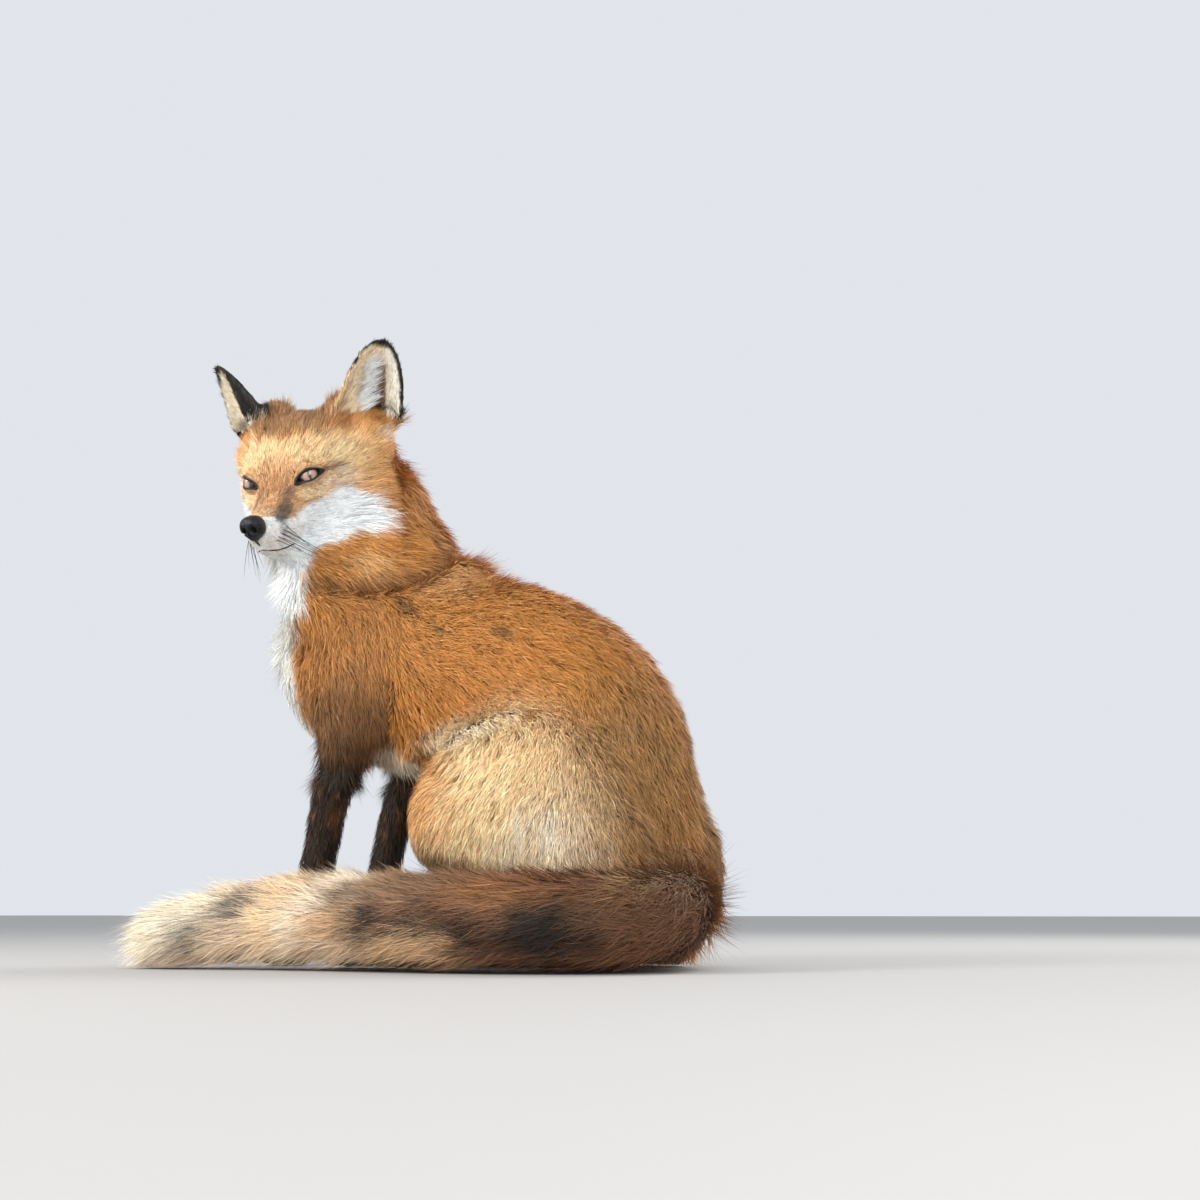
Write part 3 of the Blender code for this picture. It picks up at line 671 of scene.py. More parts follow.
lay("cream", haunch * (0.55 + 0.25 * ragged) * blot(rough, (-0.100, 0.085, 0.185), (0.050, 0.04, 0.016)))
lay("ginger", haunch * 0.75 * blot(rough, (-0.125, 0.115, 0.130), (0.045, 0.05, 0.040)))
lay("cream", haunch * (0.25 + 0.3 * ragged) * blot(rough, (0.030, 0.118, 0.115), (0.040, 0.05, 0.030)))
lay("agouti", (haunch | owned("rump", "loin")) * (0.62 + 0.25 * ragged)
    * blot(rough, (0.072, 0.075, 0.150), (0.050, 0.09, 0.090), 0.45))
lay("brown", (haunch | owned("rump")) * (0.45 + 0.3 * ragged)
    * blot(rough, (0.078, 0.070, 0.060), (0.055, 0.09, 0.038)))
under = ramp(-skin_normal[:, 2], 0.35, 0.8)
lay("cream", 0.8 * owned("chest", "loin") * under * fall(np.abs(skin[:, 1]), 0.030, 0.044))
inward = ramp(-skin_normal[:, 1] * np.sign(skin[:, 1]), 0.3, 0.8)
lay("cream", 0.7 * haunch * inward)
bib_edge = np.interp(skin[:, 2], (0.150, 0.229, 0.270, 0.295, 0.310, 0.331, 0.344),
                     (-0.288, -0.268, -0.259, -0.256, -0.250, -0.240, -0.232)) + 0.004 * ragged
bib_top = 0.388 - 0.9 * np.clip(skin[:, 1] + 0.012, 0.0, 0.06) + 0.008 * ragged
facing = 1.0 - ramp(skin[:, 2], 0.300, 0.330) * fall(-skin_normal[:, 0], -0.05, 0.35)
bib = ((trunk | on_head) * fall(skin[:, 0], bib_edge - 0.006, bib_edge + 0.005) * facing
       * ramp(bib_top - skin[:, 2], 0.0, 0.02))
bib *= np.where(on_head, ramp(-to_head(skin)[:, 2], 0.030, 0.040), 1.0)
tick += (0.14 + 0.1 * broad) * owned("chest") * blot(rough, (-0.190, 0.075, 0.275), (0.07, 0.06, 0.06))
tick += 0.30 * blot(rough, (0.050, 0.090, 0.150), (0.06, 0.09, 0.10))
grizzle += 0.28 * haunch * blot(rough, (-0.040, 0.120, 0.110), (0.09, 0.08, 0.08))
lay("cream", bib)
lay("white", 0.80 * bib)
lay("straw", 0.32 * blot(skin, (-0.184, -0.064, 0.341), (0.024, 0.022, 0.013)) * (1.0 - bib))
# Painted shade: brown along the crease under the turned neck and behind each elbow, where shade falls in the fold.
lay("brown", 0.72 * neck_fold * (1.0 - bib) + 0.75 * elbow_fold)
lay("rust", 0.40 * owned("chest", "foreleg") * blot(rough, (-0.192, 0.082, 0.238), (0.022, 0.03, 0.020)))
# Painted shade: rust along each thigh's crease and in a patch at its front end.
lay("rust", 0.10 * thigh_fold + 0.55 * blot(rough, (-0.140, 0.062, 0.183), (0.024, 0.02, 0.010)))
PARTINGS = (  # places where the mounted pelt has parted
    ((-0.160, -0.064, 0.311), (-0.149, -0.067, 0.303)), ((-0.156, -0.066, 0.301), (-0.145, -0.068, 0.297)),
    ((-0.120, -0.071, 0.281), (-0.111, -0.072, 0.277)), ((-0.060, -0.066, 0.276), (-0.050, -0.066, 0.271)))
# Brown along each parting stands for the darker under-fur that it bares and for painted shade inside it.
for row in PARTINGS:
    lay("brown", 0.95 * seam(skin, row, 0.0034))

# %% Limbs
dark = ramp(0.250 + 0.010 * ragged - skin[:, 2], 0.0, 0.040)
limb = owned("foreleg", "forepaw") | (owned("chest") & (skin[:, 2] < 0.26))
limb = limb * np.where(owned("chest"), ramp(folded[:, 1], 0.030, 0.045) * ramp(skin[:, 0], -0.262, -0.250)
                       * fall(skin[:, 0] + 0.004 * ragged, -0.178, -0.170), 1.0)
lay("brown", limb * dark * 0.95)
lay("black", limb * ramp(0.205 + 0.02 * ragged - skin[:, 2], 0.0, 0.050) * 0.92)
lay("rust", limb * 0.55 * dark * fall(skin[:, 0], -0.250, -0.232) * ramp(skin[:, 2], 0.15, 0.20))
lay("rust", limb * 0.22 * dark * ramp(skin[:, 2], 0.16, 0.21))
lay("rust", limb * 0.30 * ramp(clouded(skin, 0.006, 81), 0.0, 0.7) * ramp(skin[:, 2], 0.04, 0.12))
lay("black", owned("hind_foot") * (0.85 + 0.2 * ragged))
lay("brown", haunch * (0.9 + 0.2 * ragged) * blot(rough, (-0.105, 0.100, 0.062), (0.055, 0.05, 0.030)))
lay("black", haunch * 0.8 * blot(rough, (-0.110, 0.095, 0.050), (0.050, 0.05, 0.024)))

# %% Head, in its own frame: b back from the nose, a aside from the middle, u up
face = np.stack([head_at[:, 0], aside, head_at[:, 2]], 1)
face_rough = face + 0.0022 * clouded(skin, 0.006, 51)[:, None]
b, a, u = face_rough.T
head = on_head.astype(float)
speckle = clouded(skin, 0.0035, 61)
CHEEK_CREASE = np.array([(0.0504, 0.0158, 0.0190), (0.0514, 0.0227, 0.0127), (0.0571, 0.0303, 0.0079),
                         (0.0663, 0.0403, 0.0082)])
lay("tan", head * 0.50 * fall(b, 0.095, 0.120) * ramp(u, -0.034, -0.026))
crown_from = 0.086 + 0.42 * a
lay("straw", head * (0.42 + 0.50 * speckle) * ramp(u, 0.018, 0.040) * fall(b, crown_from, crown_from + 0.014))
lay("straw", head * (0.55 + 0.3 * speckle) * blot(face_rough, (0.105, 0.062, 0.040), (0.025, 0.02, 0.025)))
lay("rust", head * 0.90 * ramp(b, crown_from + 0.002, crown_from + 0.016) * ramp(u, 0.03, 0.05) * fall(a, 0.045, 0.06))
lay("agouti", head * 0.90 * ramp(b, 0.094, 0.108) * ramp(u, 0.04, 0.06) * fall(a, 0.025, 0.04))
lay("chestnut", head * (0.55 + 0.3 * speckle) * ramp(b, 0.098, 0.112) * ramp(u, 0.05, 0.068) * fall(a, 0.030, 0.046))
lay("rust", head * (0.42 + 0.3 * speckle) * blot(face_rough, (0.064, 0.004, 0.036), (0.016, 0.012, 0.016)))
lay("ginger", head * 0.75 * ramp(a, 0.05, 0.07) * ramp(b, 0.085, 0.10))
lay("straw", head * (0.30 + 0.3 * speckle) * blot(face_rough, (0.112, 0.070, 0.030), (0.025, 0.020, 0.030)))
lay("rust", head * 0.35 * blot(face_rough, (0.034, 0.006, 0.014), (0.014, 0.014, 0.012)))
lay("tan", head * 0.8 * fall(a, 0.012, 0.018) * fall(b, 0.046, 0.058))
lay("rust", head * (0.50 + 0.25 * speckle) * fall(a, 0.014, 0.024) * fall(b, 0.066, 0.084) * ramp(b, 0.020, 0.038))
lay("chestnut", head * (0.14 + 0.2 * speckle) * fall(a, 0.012, 0.022) * fall(b, 0.062, 0.080) * ramp(b, 0.030, 0.044))
lay("straw", head * (0.55 + 0.3 * speckle) * blot(face_rough, (0.064, 0.036, 0.015), (0.016, 0.014, 0.010)))
lay("cream", head * (0.22 + 0.4 * speckle) * blot(face_rough, (0.068, 0.038, 0.014), (0.018, 0.014, 0.010)))
lay("straw", head * (0.35 + 0.3 * speckle) * blot(face_rough, (0.098, 0.060, 0.020), (0.020, 0.014, 0.014)))
top_line = np.where(b < 0.045, np.interp(b, (0.0, 0.012, 0.022, 0.034, 0.045), (0.007, 0.006, 0.004, 0.000, -0.003)),
                    np.interp(a, (0.018, 0.024, 0.0353, 0.0473, 0.0553, 0.065, 0.0787, 0.0923),
                              (-0.002, 0.002, 0.0050, 0.0105, 0.0125, 0.0075, -0.0045, -0.0238)))
low_line = np.interp(a, (0.020, 0.030, 0.067, 0.091, 0.100), (-0.060, -0.033, -0.0285, -0.0345, -0.030))
blaze = fall(u, top_line - 0.0022, top_line + 0.0022) * np.where(
    a < 0.020, 1.0, ramp(u, low_line - 0.003, low_line + 0.003)) * fall(a, 0.088, 0.096)
lay("white", (head + owned("neck") * (b < 0.11)) * blaze)
lay("cream", head * 0.25 * blaze * fall(b, 0.010, 0.024))
throat_side = np.interp(-u, (0.030, 0.040, 0.0505, 0.070), (0.031, 0.030, 0.023, 0.012))
throat = fall(a, throat_side - 0.002, throat_side + 0.004) * ramp(-u, 0.022, 0.028) * fall(b, 0.075, 0.095)
lay("white", (head + owned("neck")) * throat * 0.9 * (skin[:, 2] > 0.28))
lay("white", head * (0.22 + 0.4 * speckle) * blot(face_rough, (0.088, 0.055, 0.021), (0.014, 0.014, 0.010)))
grizzle += head * (0.34 * ramp(u, 0.022, 0.040) + 0.08) * fall(b, crown_from, crown_from + 0.014)
tear = np.maximum(stroke(face_rough, (0.029, 0.0157, 0.0020), (0.043, 0.0190, 0.0080), 0.0066, 0.45),
                  0.75 * stroke(face_rough, (0.044, 0.0180, 0.0100), (0.0530, 0.0165, 0.0210), 0.0054, 0.6))
lay("smoke", head * tear * (0.80 + 0.25 * speckle))
whisker_bed = stroke(face_rough, (0.026, 0.0150, 0.0000), (0.029, 0.0178, -0.0085), 0.0042) * (speckle > -0.3)
lay("smoke", head * 0.60 * whisker_bed)
# Painted shade: brown along the crease from the side of the muzzle to under the eye, on the fox's left cheek only.
crease = np.max([stroke(face, one, two, 0.0021, 0.6) for one, two in zip(CHEEK_CREASE, CHEEK_CREASE[1:])], axis=0)
lay("brown", head * 0.50 * crease * (head_at[:, 1] > 0))
lay("brown", head * 0.75 * stroke(face_rough, (0.073, 0.041, 0.031), (0.092, 0.054, 0.032), 0.0032, 0.6))
lay("smoke", head * (skin[:, 0] > -0.22) * 0.8
    * stroke(face, (0.076, 0.060, -0.003), (0.080, 0.068, -0.006), 0.0022, 0.6))
tick += head * 0.10 * ramp(b, 0.10, 0.12)

# %% Ears
ear = on_ear.astype(float)
inner = ear * EAR_INSIDE
outer = ear * (1.0 - EAR_INSIDE)
left_rim = np.where(right_ear, 0.80, 0.32)
lay("straw", inner)
lay("cream", inner * (0.56 + 0.2 * speckle))
lay("flame", inner * ~right_ear * (0.28 + 0.3 * speckle) * fall(EAR_ACROSS, -0.80, -0.55) * fall(EAR_SHARE, 0.5, 0.8))
lay("cream", inner * ramp(EAR_ACROSS, 0.36, 0.50) * 0.9)
lay("cream", inner * right_ear * 0.75)
# Painted shade: brown down the hollow of the left ear's cup, between its pale bands.
lay("brown", inner * ramp(EAR_ACROSS, -0.14, -0.02) * fall(EAR_ACROSS, 0.38, 0.48) * fall(EAR_SHARE, 0.66, 0.86)
    * ~right_ear)
lay("white", inner * ramp(EAR_ACROSS, 0.50, 0.70) * 0.5 * ~right_ear)
lay("flame", inner * right_ear * 0.6 * ramp(EAR_SHARE, 0.84, 0.92) * (EAR_ACROSS < -0.1))
lay("black", outer * ramp(EAR_SHARE, 0.14, 0.28))
lay("straw", outer * ~right_ear * fall(EAR_ACROSS, -0.86, -0.74) * fall(EAR_SHARE, 0.66, 0.76))
lay("black", ear * ramp(EAR_SHARE, 0.925, 0.965))
lay("black", ear * ramp(EAR_ACROSS, 0.86, 0.97) * ramp(EAR_SHARE, left_rim, left_rim + 0.12))
lay("black", ear * ramp(-EAR_ACROSS, 0.93, 1.0) * ramp(EAR_SHARE, 0.76, 0.86))
lay("cream", head * 0.45 * blot(face, (0.136, 0.082, 0.048), (0.010, 0.008, 0.008)))

# %% Brush: the colours change along it in bands and clouds
lay("chestnut", is_brush * 1.0)
s = tail_share + 0.018 * broad
lay("tan", is_brush * ramp(s, 0.50, 0.64) * 0.85)
lay("cream", is_brush * ramp(s, 0.66, 0.80) * 0.45)
lay("cream", is_brush * ramp(s, 0.84, 0.92))
BRUSH_MARKS = (
    # tone, x and height of the middle, half its width and height, strength
    ("tan", (-0.230, 0.008), (0.085, 0.016), 0.80), ("tan", (-0.105, 0.010), (0.070, 0.016), 0.85),
    ("cream", (-0.190, 0.010), (0.100, 0.014), 0.35),
    ("agouti", (-0.078, 0.072), (0.045, 0.014), 0.45), ("tan", (-0.150, 0.036), (0.024, 0.015), 0.75),
    ("straw", (-0.203, 0.045), (0.016, 0.034), 0.60), ("cream", (-0.141, 0.082), (0.018, 0.010), 0.95),
    ("cream", (-0.163, 0.058), (0.011, 0.020), 0.80), ("cream", (-0.181, 0.032), (0.010, 0.018), 0.90),
    ("smoke", (-0.131, 0.060), (0.024, 0.012), 0.80), ("smoke", (-0.276, 0.027), (0.010, 0.017), 1.00),
    ("smoke", (-0.234, 0.054), (0.018, 0.014), 1.20), ("smoke", (-0.252, 0.036), (0.013, 0.009), 0.60),
    ("black", (-0.102, 0.033), (0.018, 0.016), 1.70), ("black", (-0.052, 0.032), (0.021, 0.019), 1.35),
    ("rust", (-0.047, 0.040), (0.006, 0.006), 0.50), ("tan", (-0.070, 0.013), (0.036, 0.014), 1.00),
    ("rust", (-0.020, 0.060), (0.016, 0.012), 0.45), ("smoke", (-0.078, 0.068), (0.036, 0.011), 0.35),
    ("brown", (0.030, 0.058), (0.046, 0.016), 0.55), ("brown", (0.096, 0.045), (0.036, 0.030), 0.60),
    ("black", (-0.012, 0.028), (0.022, 0.011), 1.00),
    ("rust", (0.012, 0.066), (0.036, 0.014), 0.35), ("black", (0.024, 0.018), (0.026, 0.008), 0.70),
    ("black", (0.042, 0.034), (0.022, 0.021), 1.70), ("black", (0.062, 0.018), (0.024, 0.011), 0.80),
    ("agouti", (0.094, 0.078), (0.020, 0.014), 0.60))
brush_rough = hull[:, [0, 2]] + 0.0050 * np.stack([clouded(skin, 0.012, 71), clouded(skin, 0.012, 75)], 1)
for tone, centre, radii, strength in BRUSH_MARKS:
    lay(tone, is_brush * strength * blot(brush_rough, centre, radii, 0.5))
tick[is_brush] = 0.10 + 0.08 * broad[is_brush]
tip_tone *= 1.0 + 0.10 * broad[:, None]
grizzle *= ramp(tip_tone.mean(1), 0.09, 0.26)
print("tones laid on", len(skin), "points")

# %% The skin as a piece
skin_piece = mesh_piece("skin", skin, quads)
painted(skin_piece, 0.45 * root_tone + 0.20 * tip_tone)
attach(skin_piece, "root")
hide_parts(*FLESH)

# %% [markdown]
# ## Glass eyes and their lids
#
# A taxidermist sets a glass ball with a painted iris in the socket and draws the lids over it
# in clay. The ball here is a sphere whose front swells a little for the cornea; each point
# keeps its place in the eye's own frame, so that one material paints both irises. The lids
# are one ring: its inner edge is the almond of the slit, laid on the ball, and its outer edge
# lies just under the skin of the brow and cheek.

# %% Eyeballs
BALL_ROWS, BALL_COLUMNS = 36, 56


def eyeball(name, hand):
    """Sphere whose radius grows by 4 percent round the gaze: R (1 + 0.04 exp(-(angle / 0.5)^2))."""
    v, u = np.meshgrid(np.linspace(0.0, math.pi, BALL_ROWS), np.linspace(0, TAU, BALL_COLUMNS, False), indexing="ij")
    swell = EYE_RADIUS * (1.0 + 0.04 * np.exp(-(v / 0.5) ** 2))
    local = np.stack([swell * np.sin(v) * np.cos(u), swell * np.sin(v) * np.sin(u), swell * np.cos(v)],
                     -1).reshape(-1, 3)
    piece = mesh_piece(name, from_eye(local, hand), grid_corners(BALL_ROWS, BALL_COLUMNS, True))
    seen = piece.data.attributes.new("Seen", "FLOAT_VECTOR", "POINT")
    seen.data.foreach_set("vector", (local / EYE_RADIUS).astype(np.float32).ravel())
    tidy_turn(piece)
    return piece


# %% Lids
LID_ROWS, LID_COLUMNS, LID_REACH = 11, 72, 0.0068
LID_BLACK = np.array([0.012, 0.010, 0.010])
skin_tree = BVHTree.FromPolygons(skin.tolist(), quads.tolist())


def on_skin(points, above):
    """The nearest places on the skin, raised by a height along the skin's normal."""
    found = [skin_tree.find_nearest(p) for p in np.asarray(points).tolist()]
    return np.array([tuple(f[0] + above * f[1]) for f in found]), np.array([f[2] for f in found])


def lid_ring(hand):
    """Rows from inside the slit to under the skin: the almond W cos t, H |sin t|^1.4, eased out to a wide oval.
    Returns the rows of points and, for each place round the ring, the skin's face below its outer edge."""
    gaze = EYES[hand][3]
    t = np.linspace(0, TAU, LID_COLUMNS, False)
    duct = np.clip(-np.cos(t), 0, 1) ** 6
    height = np.where(np.sin(t) > 0, SLIT[1], SLIT[2])
    x = SLIT[0] * np.cos(t) - 0.0016 * duct
    y = height * np.sign(np.sin(t)) * np.abs(np.sin(t)) ** 1.4 - 0.0013 * duct
    rim = EYE_RADIUS + 0.0005
    z = np.sqrt(np.maximum(rim ** 2 - x ** 2 - y ** 2, (0.30 * rim) ** 2))
    edge = np.stack([x, y, z], 1)
    inside = edge * 0.93
    wide = np.stack([(SLIT[0] + LID_REACH) * np.cos(t), (height + LID_REACH) * np.sin(t), np.full_like(t, 0.004)], 1)
    outer, faces = on_skin(from_eye(wide, hand), -0.0007)
    rows = [from_eye(inside, hand)]
    for k in np.linspace(0.0, 1.0, LID_ROWS - 1):
        ease = k ** 0.85
        roll = 0.0011 * math.sin(math.pi * min(1.0, k * 2.2)) + 0.0013 * math.sin(math.pi * k)
        rows.append(from_eye(edge, hand) * (1 - ease) + outer * ease + roll * gaze
                    + (0.0010 * math.sin(math.pi * k) * np.clip(np.sin(t), 0, 1))[:, None] * gaze)
    return np.stack(rows), faces


def lids(name, hand):
    """One eye's lids as a piece, black by the slit and out to the tear duct, and in the pelt's tones beyond.
    Returns it with its rows of points and how bare each point is: 1 black, 0 furred."""
    rows, faces = lid_ring(hand)
    corners = grid_corners(LID_ROWS, LID_COLUMNS, True)
    piece = mesh_piece(name, rows.reshape(-1, 3), corners if hand < 0 else corners[:, ::-1])
    t = np.linspace(0, TAU, LID_COLUMNS, False)
    nearest = quads[faces][:, 0]
    fur = 0.55 * root_tone[nearest] + 0.45 * tip_tone[nearest]
    k = np.clip((np.arange(LID_ROWS) - 1) / (LID_ROWS - 2), 0, 1)[:, None]
    duct_black = 0.74 if hand > 0 else 0.34
    black_to = (0.21 + duct_black * np.clip(-np.cos(t), 0, 1) ** 5 + 0.13 * np.clip(np.sin(t), 0, 1)
                + 0.50 * np.clip(np.cos(t), 0, 1) ** 8)
    bare = fall(k - black_to[None], -0.05, 0.10)
    colour = bare[..., None] * LID_BLACK + (1 - bare[..., None]) * fur[None]
    painted(piece, colour.reshape(-1, 3))
    return piece, rows, bare


eye_left, eye_right = eyeball("eye_glass_left", 1), eyeball("eye_glass_right", -1)
lid_left, lid_left_rows, lid_left_bare = lids("lids_left", 1)
lid_right, lid_right_rows, lid_right_bare = lids("lids_right", -1)
for piece, node in ((eye_left, "eye_left"), (eye_right, "eye_right")):
    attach(piece, "root")
    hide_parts(node)
for piece in (lid_left, lid_right):
    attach(piece, "root")
print("slit", 2000 * SLIT[0], "mm long")

# %% [markdown]
# ## Nose
#
# The nose is bare pebbled leather, waxed black. It could be sculpted by hand; here it is a
# rounded box given by a formula, with the nostrils pressed in as comma-shaped hollows and the
# groove that runs down to the lip.

# %% The nose pad: a ball with each coordinate raised to 0.86, which squares it a little
NOSE_SEAT, NOSE_HALF = np.array([0.0070, 0.0, -0.0012]), np.array([0.0092, 0.0110, 0.0112])
PAD_ROWS, PAD_COLUMNS = 70, 110
v, u = np.meshgrid(np.linspace(0.0, math.pi, PAD_ROWS), np.linspace(0, TAU, PAD_COLUMNS, False), indexing="ij")
pad = np.stack([-np.cos(v), np.sin(v) * np.cos(u), np.sin(v) * np.sin(u)], -1).reshape(-1, 3)
pad = np.sign(pad) * np.abs(pad) ** 0.86
pad[:, 1] *= 1.0 - 0.55 * ramp(-pad[:, 2], -0.1, 1.05)         # narrower towards the lip
pad[:, 0] -= 0.18 * pad[:, 2] * (pad[:, 0] < 0)              # the top leans forward
front = ramp(-pad[:, 0], 0.05, 0.45)
sideways = np.abs(pad[:, 1])
nostril = np.exp(-(((sideways - 0.40) / 0.17) ** 2 + ((pad[:, 2] + 0.02) / 0.19) ** 2))
slot_out = np.exp(-(((sideways - 0.66) / 0.20) ** 2 + ((pad[:, 2] + 0.26 + 0.35 * (sideways - 0.66)) / 0.07) ** 2))
groove = np.exp(-(sideways / 0.045) ** 2) * ramp(-pad[:, 2], -0.15, 0.25)
press = front * (0.62 * nostril + 0.30 * slot_out) + ramp(-pad[:, 0], -0.1, 0.3) * 0.16 * groove
pad[:, 0] += press
pad[:, 2] += 0.10 * front * np.exp(-(((sideways - 0.42) / 0.30) ** 2 + ((pad[:, 2] - 0.32) / 0.2) ** 2))
nose = mesh_piece("nose_pad", from_head(NOSE_SEAT + pad * NOSE_HALF), grid_corners(PAD_ROWS, PAD_COLUMNS, True))
tidy_turn(nose)
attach(nose, "root")
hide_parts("nose")

# %% [markdown]
# ## Lips, whiskers and claws
#
# These are all round bars whose middle follows a curve and whose radius changes on the way,
# so one function makes them: at each row of the curve it lays a ring across the way.

# %% A tapering bar along a path
def bar(paths, radii, sides=6):
    """Rings of `sides` points round each path (bars, rows, 3); radii are (bars, rows). Returns points and quads."""
    way_on = unit(np.gradient(paths, axis=1))
    aid = unit(np.cross(way_on, np.broadcast_to(np.array([0.31, 0.22, 0.92]), way_on.shape)))
    other = np.cross(way_on, aid)
    turn = np.linspace(0, TAU, sides, False)
    ring = (np.cos(turn)[:, None] * aid[:, :, None] + np.sin(turn)[:, None] * other[:, :, None])
    points = paths[:, :, None] + radii[:, :, None, None] * ring
    bars, rows = paths.shape[:2]
    one = grid_corners(rows, sides, True)
    corners = (one[None] + (np.arange(bars) * rows * sides)[:, None, None]).reshape(-1, 4)
    return points.reshape(-1, 3), corners


def bars_piece(name, paths, radii, sides=6):
    """The bars of `bar` as one finished piece."""
    points, corners = bar(np.asarray(paths), np.asarray(radii), sides)
    piece = mesh_piece(name, points, corners)
    tidy_turn(piece)
    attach(piece, "root")
    return piece


def curve(knots, rows):
    """A smooth path through a few knots, by easing a polyline."""
    return finer(np.array(knots, dtype=float), rows)


# %% Lips: one dark line from corner to corner under the nose
half_lip = np.array([(0.0105, 0.000, -0.0185), (0.0125, 0.003, -0.0215), (0.0175, 0.0070, -0.0248),
                     (0.0260, 0.0112, -0.0262), (0.0340, 0.0138, -0.0262), (0.0420, 0.0158, -0.0248)])
LIP_ROWS = 90
lip_line = np.concatenate([half_lip[::-1] * (1, -1, 1), half_lip[1:]])
lip_path = finer(on_skin(from_head(curve(lip_line, LIP_ROWS)), 0.0010)[0], LIP_ROWS)
lip_width = 0.0008 * (0.35 + 0.65 * np.sin(np.linspace(0, math.pi, LIP_ROWS)) ** 0.5)
lips = bars_piece("lips", [lip_path], [lip_width], 8)
groove_path = from_head(curve([(0.0045, 0, -0.0105), (0.0075, 0, -0.0135), (0.0115, 0, -0.0172)], 12))
philtrum = bars_piece("philtrum", [groove_path], [np.linspace(0.0010, 0.0008, 12)], 8)

# %% Whiskers
whisker_rng = np.random.default_rng(5)
WHISKERS_A_SIDE, WHISKER_ROWS = 8, 12
whisker_paths, whisker_radii = [], []
for hand in (1, -1):
    for k in range(WHISKERS_A_SIDE):
        row, step_back = k % 3, k // 3
        foot = np.array([0.019 + 0.0060 * step_back, hand * (0.0128 + 0.0024 * step_back), -0.0065 - 0.0045 * row])
        length = 0.032 + 0.007 * step_back + 0.010 * whisker_rng.random()
        out = np.array([0.25 + 0.60 * whisker_rng.random(), hand * (0.30 + 0.60 * whisker_rng.random()),
                        -0.65 - 0.50 * whisker_rng.random()])
        sag = np.array([0.20, hand * 0.05, -0.30])
        t = np.linspace(0, 1, WHISKER_ROWS)[:, None]
        whisker_paths.append(from_head(foot + length * (t * unit(out) + 0.42 * t ** 2 * sag)))
        whisker_radii.append(0.00026 * (1 - t[:, 0]) ** 0.7 + 0.00005)
whiskers = bars_piece("whiskers", whisker_paths, whisker_radii, 5)

# %% Claws
CLAW_ROWS = 8
claw_paths, claw_radii = [], []
for foot_name, count in (("forepaw_left", 4), ("forepaw_right", 4), ("hind_foot_left", 4), ("hind_foot_right", 4)):
    low, high = (np.array(c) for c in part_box(foot_name))
    for k in range(count):
        share = (k + 0.5) / count
        y = low[1] + (high[1] - low[1]) * (0.14 + 0.72 * share)
        reach = 0.0055 * math.sin(math.pi * share) ** 0.6
        t = np.linspace(0, 1, CLAW_ROWS)[:, None]
        start = np.array([low[0] + 0.0125 - reach, y, 0.0105])
        claw_paths.append(start + t * (-0.0125, 0, 0) + t ** 2 * (0, 0, -0.0085))
        claw_radii.append(0.0017 * (1 - t[:, 0]) ** 0.6 + 0.0001)
claws = bars_piece("claws", claw_paths, claw_radii, 7)

# %% [markdown]
# ## The coat
#
# Each blade is a strip with a few rows that narrows to a point. It leaves the skin at a slant,
# bends over, and follows the skin's own curve. Neighbours lean towards the mean of their tuft,
# which is how real fur parts into pointed locks. Each tuft also has its own slant and shade.
#
# The map called OFBake gives each blade a small patch at its root's place on a flat pelt. The
# pelt is unwrapped round the middle line of each part: the angle round it by the way along it.

# %% The flat pelt
HAUNCH_LINE = np.array([(0.06, 0.07, 0.12), (-0.03, 0.07, 0.12), (-0.12, 0.078, 0.12)])
FORE_LINE = np.array([(-0.22, 0.058, 0.28), (-0.227, 0.055, 0.165), (-0.27, 0.048, 0.01)])
HIND_LINE = np.array([(0.04, 0.084, 0.03), (-0.17, 0.088, 0.015)])
PELT = {  # part: its line, and the corner and size of its place on the pelt
    "trunk": (TRUNK_LINE, (0.01, 0.01, 0.58, 0.36)),
    "brush": (BRUSH_LINE, (0.01, 0.40, 0.58, 0.32)),
    "head": (from_head([(0.0, 0, -0.002), (0.06, 0, 0.0), (0.12, 0, 0.02), (0.18, 0, 0.0)]),
             (0.01, 0.75, 0.58, 0.24)),
    "haunch_left": (HAUNCH_LINE * (1, -1, 1), (0.62, 0.01, 0.36, 0.16)),
    "haunch_right": (HAUNCH_LINE, (0.62, 0.19, 0.36, 0.16)),
    "fore_left": (FORE_LINE * (1, -1, 1), (0.62, 0.37, 0.17, 0.18)),
    "fore_right": (FORE_LINE, (0.81, 0.37, 0.17, 0.18)),
    "hind_left": (HIND_LINE * (1, -1, 1), (0.62, 0.57, 0.17, 0.12)),
    "hind_right": (HIND_LINE, (0.81, 0.57, 0.17, 0.12)),
    "ear_left": (from_head(EAR_PLACES["left"][:2]), (0.62, 0.71, 0.17, 0.28)),
    "ear_right": (from_head(EAR_PLACES["right"][:2]), (0.81, 0.71, 0.17, 0.28))}
part_number = np.zeros(len(skin), dtype=int)
for stem, part in (("head", "head"), ("tail", "brush"), ("haunch_left", "haunch_left"),
                   ("haunch_right", "haunch_right"), ("fore", "fore"), ("hind_foot", "hind"),
                   ("ear_left", "ear_left"), ("ear_right", "ear_right")):
    for hand, side_name in ((1, "_right"), (-1, "_left")):
        key = part if part in PELT else part + side_name
        part_number[owned(stem) & ((part in PELT) | (np.sign(skin[:, 1]) == hand))] = list(PELT).index(key)
pelt_place = np.zeros((len(skin), 2))
for number, (line, (left, low, wide, tall)) in enumerate(PELT.values()):
    mine = part_number == number
    share, way_there, middle = along(skin[mine], line)
    aid = np.array([0.12, 0.05, 0.99] if abs(way_there[0, 2]) < 0.8 else [0.99, 0.05, 0.12])
    e1 = unit(np.cross(way_there, aid))
    e2 = np.cross(way_there, e1)
    out = skin[mine] - middle
    angle = np.arctan2((out * e2).sum(1), (out * e1).sum(1)) / TAU + 0.5
    pelt_place[mine] = np.stack([left + wide * angle, low + tall * share], 1)

